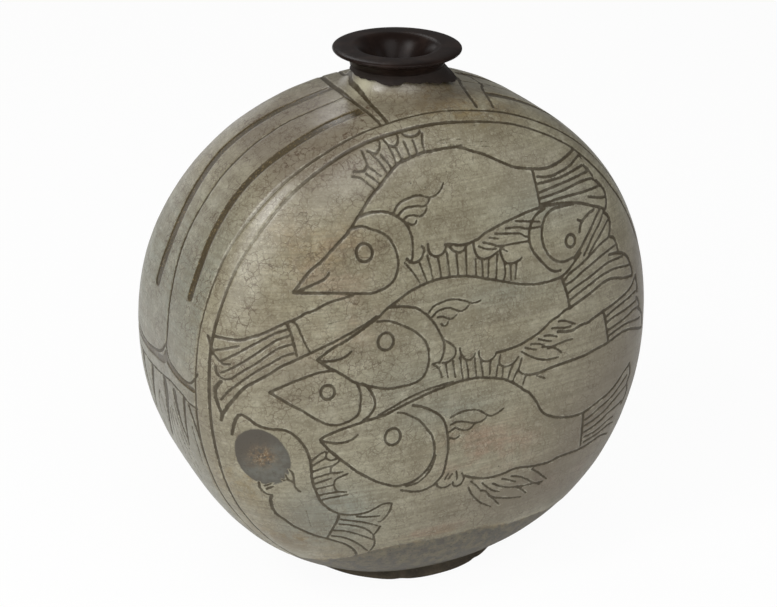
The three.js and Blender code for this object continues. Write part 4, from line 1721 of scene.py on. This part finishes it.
    def scar_stains(self, x: np.ndarray, z: np.ndarray, side: np.ndarray) -> dict[str, np.ndarray]:
        """How much painted shade the ground scar's upper left gets, and how gritty its middle is.

        Args:
            x: How far across each place is.
            z: How high it is.
            side: -1 at the front, 1 at the back.

        Returns:
            The painted shade and the grit, each under the name that the finish reads.
        """
        centre, _ = self.scar_centre()
        across, up = x - centre[0], z - centre[2]
        return {
            # Painted shade, darker towards the scar's upper left.
            "dark_clay_and_shade": eased(-across * 0.7 + up * 0.8, -3, 6),
            "grit": np.exp(-((across / 3.4) ** 2) - (up / 3.6) ** 2) * (side < 0),
        }

    def greened(
        self, x: np.ndarray, z: np.ndarray, share: np.ndarray, down: np.ndarray, side: np.ndarray
    ) -> np.ndarray:
        """How much the glaze pools blue-green: on the side walls, and in a few places on the face.

        Args:
            x: How far across each place is.
            z: How high it is.
            share: How far out it is, as a share of the outline's radius.
            down: How far down from the crown it is.
            side: -1 at the front, 1 at the back.

        Returns:
            One strength a place, from 0 to 1.
        """
        wall = eased(share, *self.wall_edge) * eased(down, 50, 125) * 0.8
        face = np.where(side < 0, sum(b.laid(x, z) for b in self.green), 0.2)
        return np.clip(wall + face * (share < 0.93), 0, 1)

    def normals(self, skin: Surface) -> np.ndarray:
        """The way outwards at each point of the skin.

        Args:
            skin: The skin.

        Returns:
            One way of length 1 a point.
        """
        corners = skin.points[skin.faces]
        across = np.cross(corners[:, 2] - corners[:, 0], corners[:, 3] - corners[:, 1])
        total = np.zeros_like(skin.points)
        for i in range(4):
            for axis in range(3):
                total[:, axis] += np.bincount(skin.faces[:, i], across[:, axis], len(total))
        return total / np.maximum(np.linalg.norm(total, axis=1, keepdims=True), 1e-12)


@dataclass
class FootRing:
    """The luted foot, a little uneven from the hand and the kiln."""

    radius: float = 44.0
    height: float = 5.7
    wall: float = 7.5
    spread: float = 0.7
    edge: float = 0.55
    waves: Waves = ((0.07, 3, 0.7), (0.06, 8, 2.0), (0.05, 19, 0.0))
    chips: tuple[tuple[float, float, float], ...] = ((0.5, 4.35, 0.05), (0.4, 5.1, 0.04))
    turns: int = 240

    def build(self) -> bpy.types.Object:
        """Makes the foot ring.

        Returns:
            The foot ring.
        """
        inside = self.radius - self.wall
        ground, top = self.radius + self.spread, self.radius - self.spread
        profile = [
            *arc((inside + self.edge, self.edge), self.edge, 180, 270),
            *arc((ground - self.edge, self.edge), self.edge, 270, 360),
            *rounded((ground, 1.6), (top, 3.0), (top, self.height)),
            *rounded((self.radius - 2.5, self.height), (inside + 3, self.height), (inside, self.height), 5),
        ]
        turn = np.linspace(0, math.tau, self.turns, endpoint=False)
        radius, height = np.array(profile).T
        loss = sum(size for size, _, _ in self.waves) + swayed(turn, self.waves)
        chip = sum(deep * np.exp(-(((turn - at) / wide) ** 2)) for deep, at, wide in self.chips)
        outer = (radius > self.radius - self.wall / 2)[None]
        r = radius[None] - outer * (loss + chip)[:, None]
        ring = ring_surface(about_axis(r, height[None], turn)).mesh("foot")
        finish = BareClay(Slot.FOOT, "5a5040", "302920", "6b6152").make()
        return settle(ring, "foot_ring", finish)


@dataclass
class NeckCollar:
    """The putty over the old neck and its root, spread with a blade and ragged at its hem."""

    globe: Globe
    neck: float = 17.2
    bore: float = 10.7
    stub: float = 15.05
    rise: float = 6.86
    gap: float = 0.3
    root_top: float = 5.1
    stub_top: float = 5.9
    thickness: float = 1.1
    aside: Place = (0.9, -0.3)
    hem: str = """
    0,3.2 25,4 55,3.7 80,4.3 105,4 130,4.4 155,4.2 175,4.8 186,4.5 195,4.1 205,4.6 215,4.7 221,4.3
    224,3.6 237,3.8 245,4 254,4.8 264,4.3 278,3.9 290,3.2 303,2.5 316,1.6 326,1 334,0.8 342,1.6
    350,2.6 360,3.2
    """
    hem_waves: Waves = ((0.16, 13, 1.3), (0.12, 29, 0.2), (0.07, 53, 2.0))
    blade_waves: Waves = ((0.1, 4, 1.0), (0.07, 11, 2.2))
    blade_loss: float = 0.12
    droop_start: float = 3.6
    turns: int = 360

    def build(self) -> bpy.types.Object:
        """Makes the collar.

        Returns:
            The collar.
        """
        turn = np.linspace(0, math.tau, self.turns, endpoint=False)
        crown = self.globe.crown
        angles, heights = knife_lines(self.hem)[0].T
        hem = crown + np.interp(np.degrees(turn), angles, heights) + swayed(turn, self.hem_waves)
        droop = np.clip(crown + self.droop_start - hem, 0, 3)
        hem_radius = self.root_radius(hem) + self.gap + self.thickness + 0.3 * droop
        top = crown + self.rise
        t = np.linspace(0, 1, 16)[:, None]
        r = bent(t, hem_radius, self.neck + 0.1, self.neck)
        z = bent(t, hem, hem + 0.4 * (top - hem), top - 0.1)
        r = r + (swayed(turn, self.blade_waves) - self.blade_loss) * np.sin(math.pi * t)
        rings = [*zip(r, z)]
        for radius, height in (
            (self.neck - 0.1, top),
            (self.bore, top),
            (self.bore, crown + self.stub_top),
            (self.stub, crown + self.stub_top),
            (self.stub, crown + self.root_top),
        ):
            rings.append(self.ring(radius, height))
        step = crown + self.root_top
        for share in np.linspace(0, 1, 6):
            height = step + (np.minimum(hem, step - 0.1) - step) * share
            rings.append((self.root_radius(height) + self.gap, height))
        rings.append((hem_radius - 0.45, hem - 0.12))
        r, z = (np.stack(values, 1) for values in zip(*rings))
        leaning = np.clip((top - z) / 3, 0, 1) * (r > self.neck - 0.6)
        points = about_axis(r, z, turn)
        points[..., :2] += leaning[..., None] * self.aside
        collar = ring_surface(points).mesh("putty_collar")
        finish = Lacquer(Slot.PUTTY, "29221e", "302723", 0.5, 0.3, 0.15).make()
        return settle(collar, "neck_collar", finish)

    def ring(self, radius: float, height: float) -> tuple[np.ndarray, np.ndarray]:
        """A level ring, as its radius and its height all the way round."""
        return np.full(self.turns, radius), np.full(self.turns, height)

    def root_radius(self, height: np.ndarray) -> np.ndarray:
        """How wide the root is at a height."""
        out = np.linspace(30, self.globe.root_radius, 200)
        return np.interp(height, self.globe.root(out), out)


@dataclass
class Mouth:
    """The turned and lacquered mouth: a rolled lip round a dished bowl, on a spigot."""

    globe: Globe
    radius: float = 23.5
    rise: float = 13.25
    edge: float = 0.65
    fall: float = 1.0
    roll: float = 4.5
    undercut: Place = (1.3, 3.0)
    brink: float = 16.5
    brink_roll: float = 4.3
    throat: float = 8.2
    depth: float = 10.0
    neck: float = 17.2
    seat_rise: float = 6.9
    spigot: float = 10.4
    spigot_length: float = 11.0
    oval: float = 0.0015
    turns: int = 256

    def build(self) -> bpy.types.Object:
        """Makes the mouth.

        Returns:
            The mouth.
        """
        seat = self.globe.crown + self.seat_rise
        top = self.globe.crown + self.rise
        centre = (self.radius - self.edge, top - self.fall)
        undercut = (self.neck + self.undercut[0], top - self.undercut[1])
        crest = (self.radius - self.roll, top)
        turned_in = (self.brink - self.brink_roll, top)
        foot = seat - self.spigot_length
        profile = [
            (self.throat, foot),
            (self.spigot, foot),
            (self.spigot, seat),
            (self.neck, seat),
            *rounded((self.neck, seat + 0.3), undercut, (centre[0], centre[1] - self.edge), 16),
            *arc(centre, self.edge, -90, 0, 8)[1:],
            *rounded((self.radius, centre[1]), (self.radius, top), crest, 14)[1:],
            *rounded((self.brink, top), turned_in, (self.throat, top - self.depth), 28),
        ]
        turn = np.linspace(0, math.tau, self.turns, endpoint=False)
        radius, height = np.array(profile).T
        oval = 1 - self.oval * (1 + np.sin(2 * turn + 0.6))
        r = radius[None] * oval[:, None]
        mouth = ring_surface(about_axis(r, height[None], turn)).mesh("mouth")
        finish = Lacquer(Slot.WOOD, "1a120f", "2b201b", 0.22, 0.05, 0.1).make()
        return settle(mouth, "mouth_rim", finish)


@dataclass
class NeckStub:
    """What is left of the thrown neck. Its CAD solid stays."""

    node: str = "neck_stub"

    def build(self) -> bpy.types.Object:
        """Dresses the stub.

        Returns:
            The stub.
        """
        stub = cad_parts[self.node]
        stub.data.materials.clear()
        stub.data.materials.append(BareClay(Slot.STUB, "6d6156", "544a40", "8a8073").make())
        return stub


# Studio


@dataclass(frozen=True)
class Lamp:
    """One soft lamp: where it hangs and how wide it is, in metres, and its power in watts."""

    name: str
    place: tuple[float, float, float]
    size: float
    power: float


@dataclass
class Studio:
    """The floor, the lamps and the camera."""

    floor_size: float = 12.0
    floor_tone: str = "f4f4f2"
    floor_white: float = 0.95
    room_light: float = 0.16
    aim: float = 0.1
    stand: tuple[float, float, float] = (0.0, 0.0, 0.110)
    distance: float = 0.6352
    stand_azimuth: float = -25.768
    stand_elevation: float = 25.227
    azimuth: float = -25.547
    elevation: float = 26.178
    roll: float = 0.551
    lens: float = 76.41
    lamps: tuple[Lamp, ...] = (
        Lamp("left_lamp", (-0.78, -0.46, 0.62), 0.9, 5.2),
        Lamp("edge_lamp", (-0.74, -0.12, 0.98), 0.36, 4.2),
        Lamp("top_lamp", (0.05, -1.0, 1.25), 1.0, 7.1),
        Lamp("right_lamp", (1.3, -0.9, 0.6), 1.0, 2.3),
        Lamp("back_lamp", (0.15, 0.95, 1.0), 0.4, 1.5),
        Lamp("far_lamp", (-0.3, 1.5, 0.2), 1.2, 2.6),
    )

    def camera(self) -> None:
        """Sets the camera where the photograph was taken from."""
        lens = bpy.data.cameras.new("camera")
        lens.lens = self.lens
        lens.sensor_width = 36.0
        lens.clip_start = 0.01
        lens.clip_end = 100.0
        camera = bpy.data.objects.new("camera", lens)
        bpy.context.scene.collection.objects.link(camera)
        turned, rolled = math.radians(self.azimuth), math.radians(self.roll)
        right = Vector((math.cos(turned), math.sin(turned), 0))
        back = self.way(self.azimuth, self.elevation)
        up = back.cross(right)
        leaning_right = right * math.cos(rolled) + up * math.sin(rolled)
        leaning_up = up * math.cos(rolled) - right * math.sin(rolled)
        way = self.way(self.stand_azimuth, self.stand_elevation)
        turn = Matrix((leaning_right, leaning_up, back)).transposed()
        camera.matrix_world = Matrix.Translation(Vector(self.stand) + way * self.distance) @ turn.to_4x4()
        bpy.context.scene.camera = camera

    def way(self, azimuth: float, elevation: float) -> Vector:
        """The way out from the flask at an azimuth and an elevation in degrees."""
        a, e = math.radians(azimuth), math.radians(elevation)
        return Vector((math.sin(a) * math.cos(e), -math.cos(a) * math.cos(e), math.sin(e)))

    def hang(self, lamp: Lamp) -> None:
        """Hangs a lamp, so that it faces the flask.

        Args:
            lamp: The lamp.
        """
        light = bpy.data.lights.new(lamp.name, "AREA")
        light.shape = "DISK"
        light.size = lamp.size
        light.energy = lamp.power
        made = bpy.data.objects.new(lamp.name, light)
        bpy.context.scene.collection.objects.link(made)
        made.location = lamp.place
        toward = Vector((0, 0, self.aim)) - Vector(lamp.place)
        made.rotation_mode = "QUATERNION"
        made.rotation_quaternion = toward.to_track_quat("-Z", "Y")

    def floor(self) -> None:
        """Lays the pale floor, which the camera sees as white but for the flask's shadow."""
        half = self.floor_size / 2
        mesh = bpy.data.meshes.new("floor")
        corners = [(-half, -half, 0), (half, -half, 0), (half, half, 0), (-half, half, 0)]
        mesh.from_pydata(corners, [], [(0, 1, 2, 3)])
        floor = bpy.data.objects.new("floor", mesh)
        bpy.context.scene.collection.objects.link(floor)
        material = bpy.data.materials.new("floor")
        material.use_nodes = True
        nodes, links = material.node_tree.nodes, material.node_tree.links
        nodes.clear()
        matt = nodes.new("ShaderNodeBsdfDiffuse")
        matt.inputs["Color"].default_value = colour(self.floor_tone)
        glow = nodes.new("ShaderNodeEmission")
        path = nodes.new("ShaderNodeLightPath")
        share = nodes.new("ShaderNodeMath")
        share.operation = "MULTIPLY"
        share.inputs[1].default_value = self.floor_white
        mix = nodes.new("ShaderNodeMixShader")
        out = nodes.new("ShaderNodeOutputMaterial")
        links.new(path.outputs["Is Camera Ray"], share.inputs[0])
        links.new(share.outputs[0], mix.inputs[0])
        links.new(matt.outputs[0], mix.inputs[1])
        links.new(glow.outputs[0], mix.inputs[2])
        links.new(mix.outputs[0], out.inputs["Surface"])
        mesh.materials.append(material)

    def world(self) -> None:
        """Fills the room with a soft light, which the camera sees as white."""
        world = bpy.data.worlds.new("room")
        bpy.context.scene.world = world
        world.use_nodes = True
        nodes, links = world.node_tree.nodes, world.node_tree.links
        room = nodes["Background"]
        room.inputs["Color"].default_value = (1, 1, 1, 1)
        path = nodes.new("ShaderNodeLightPath")
        level = nodes.new("ShaderNodeMapRange")
        level.inputs["To Min"].default_value = self.room_light
        level.inputs["To Max"].default_value = 1.0
        links.new(path.outputs["Is Camera Ray"], level.inputs["Value"])
        links.new(level.outputs["Result"], room.inputs["Strength"])

    def build(self) -> None:
        """Sets up everything round the flask."""
        self.camera()
        self.floor()
        self.world()
        for lamp in self.lamps:
            self.hang(lamp)
        view = bpy.context.scene.view_settings
        view.view_transform = "Standard"


def main() -> None:
    """Builds the flask and its studio."""
    logging.basicConfig(level=logging.INFO, format="%(name)s: %(message)s")
    Studio().build()
    globe = Globe()
    pieces = [FlaskBody(globe), FootRing(), NeckStub(), NeckCollar(globe), Mouth(globe)]
    for maker in pieces:
        made = maker.build()
        LOG.info("%s: %d points", made.name, len(made.data.vertices))


if __name__ == "__main__":
    main()
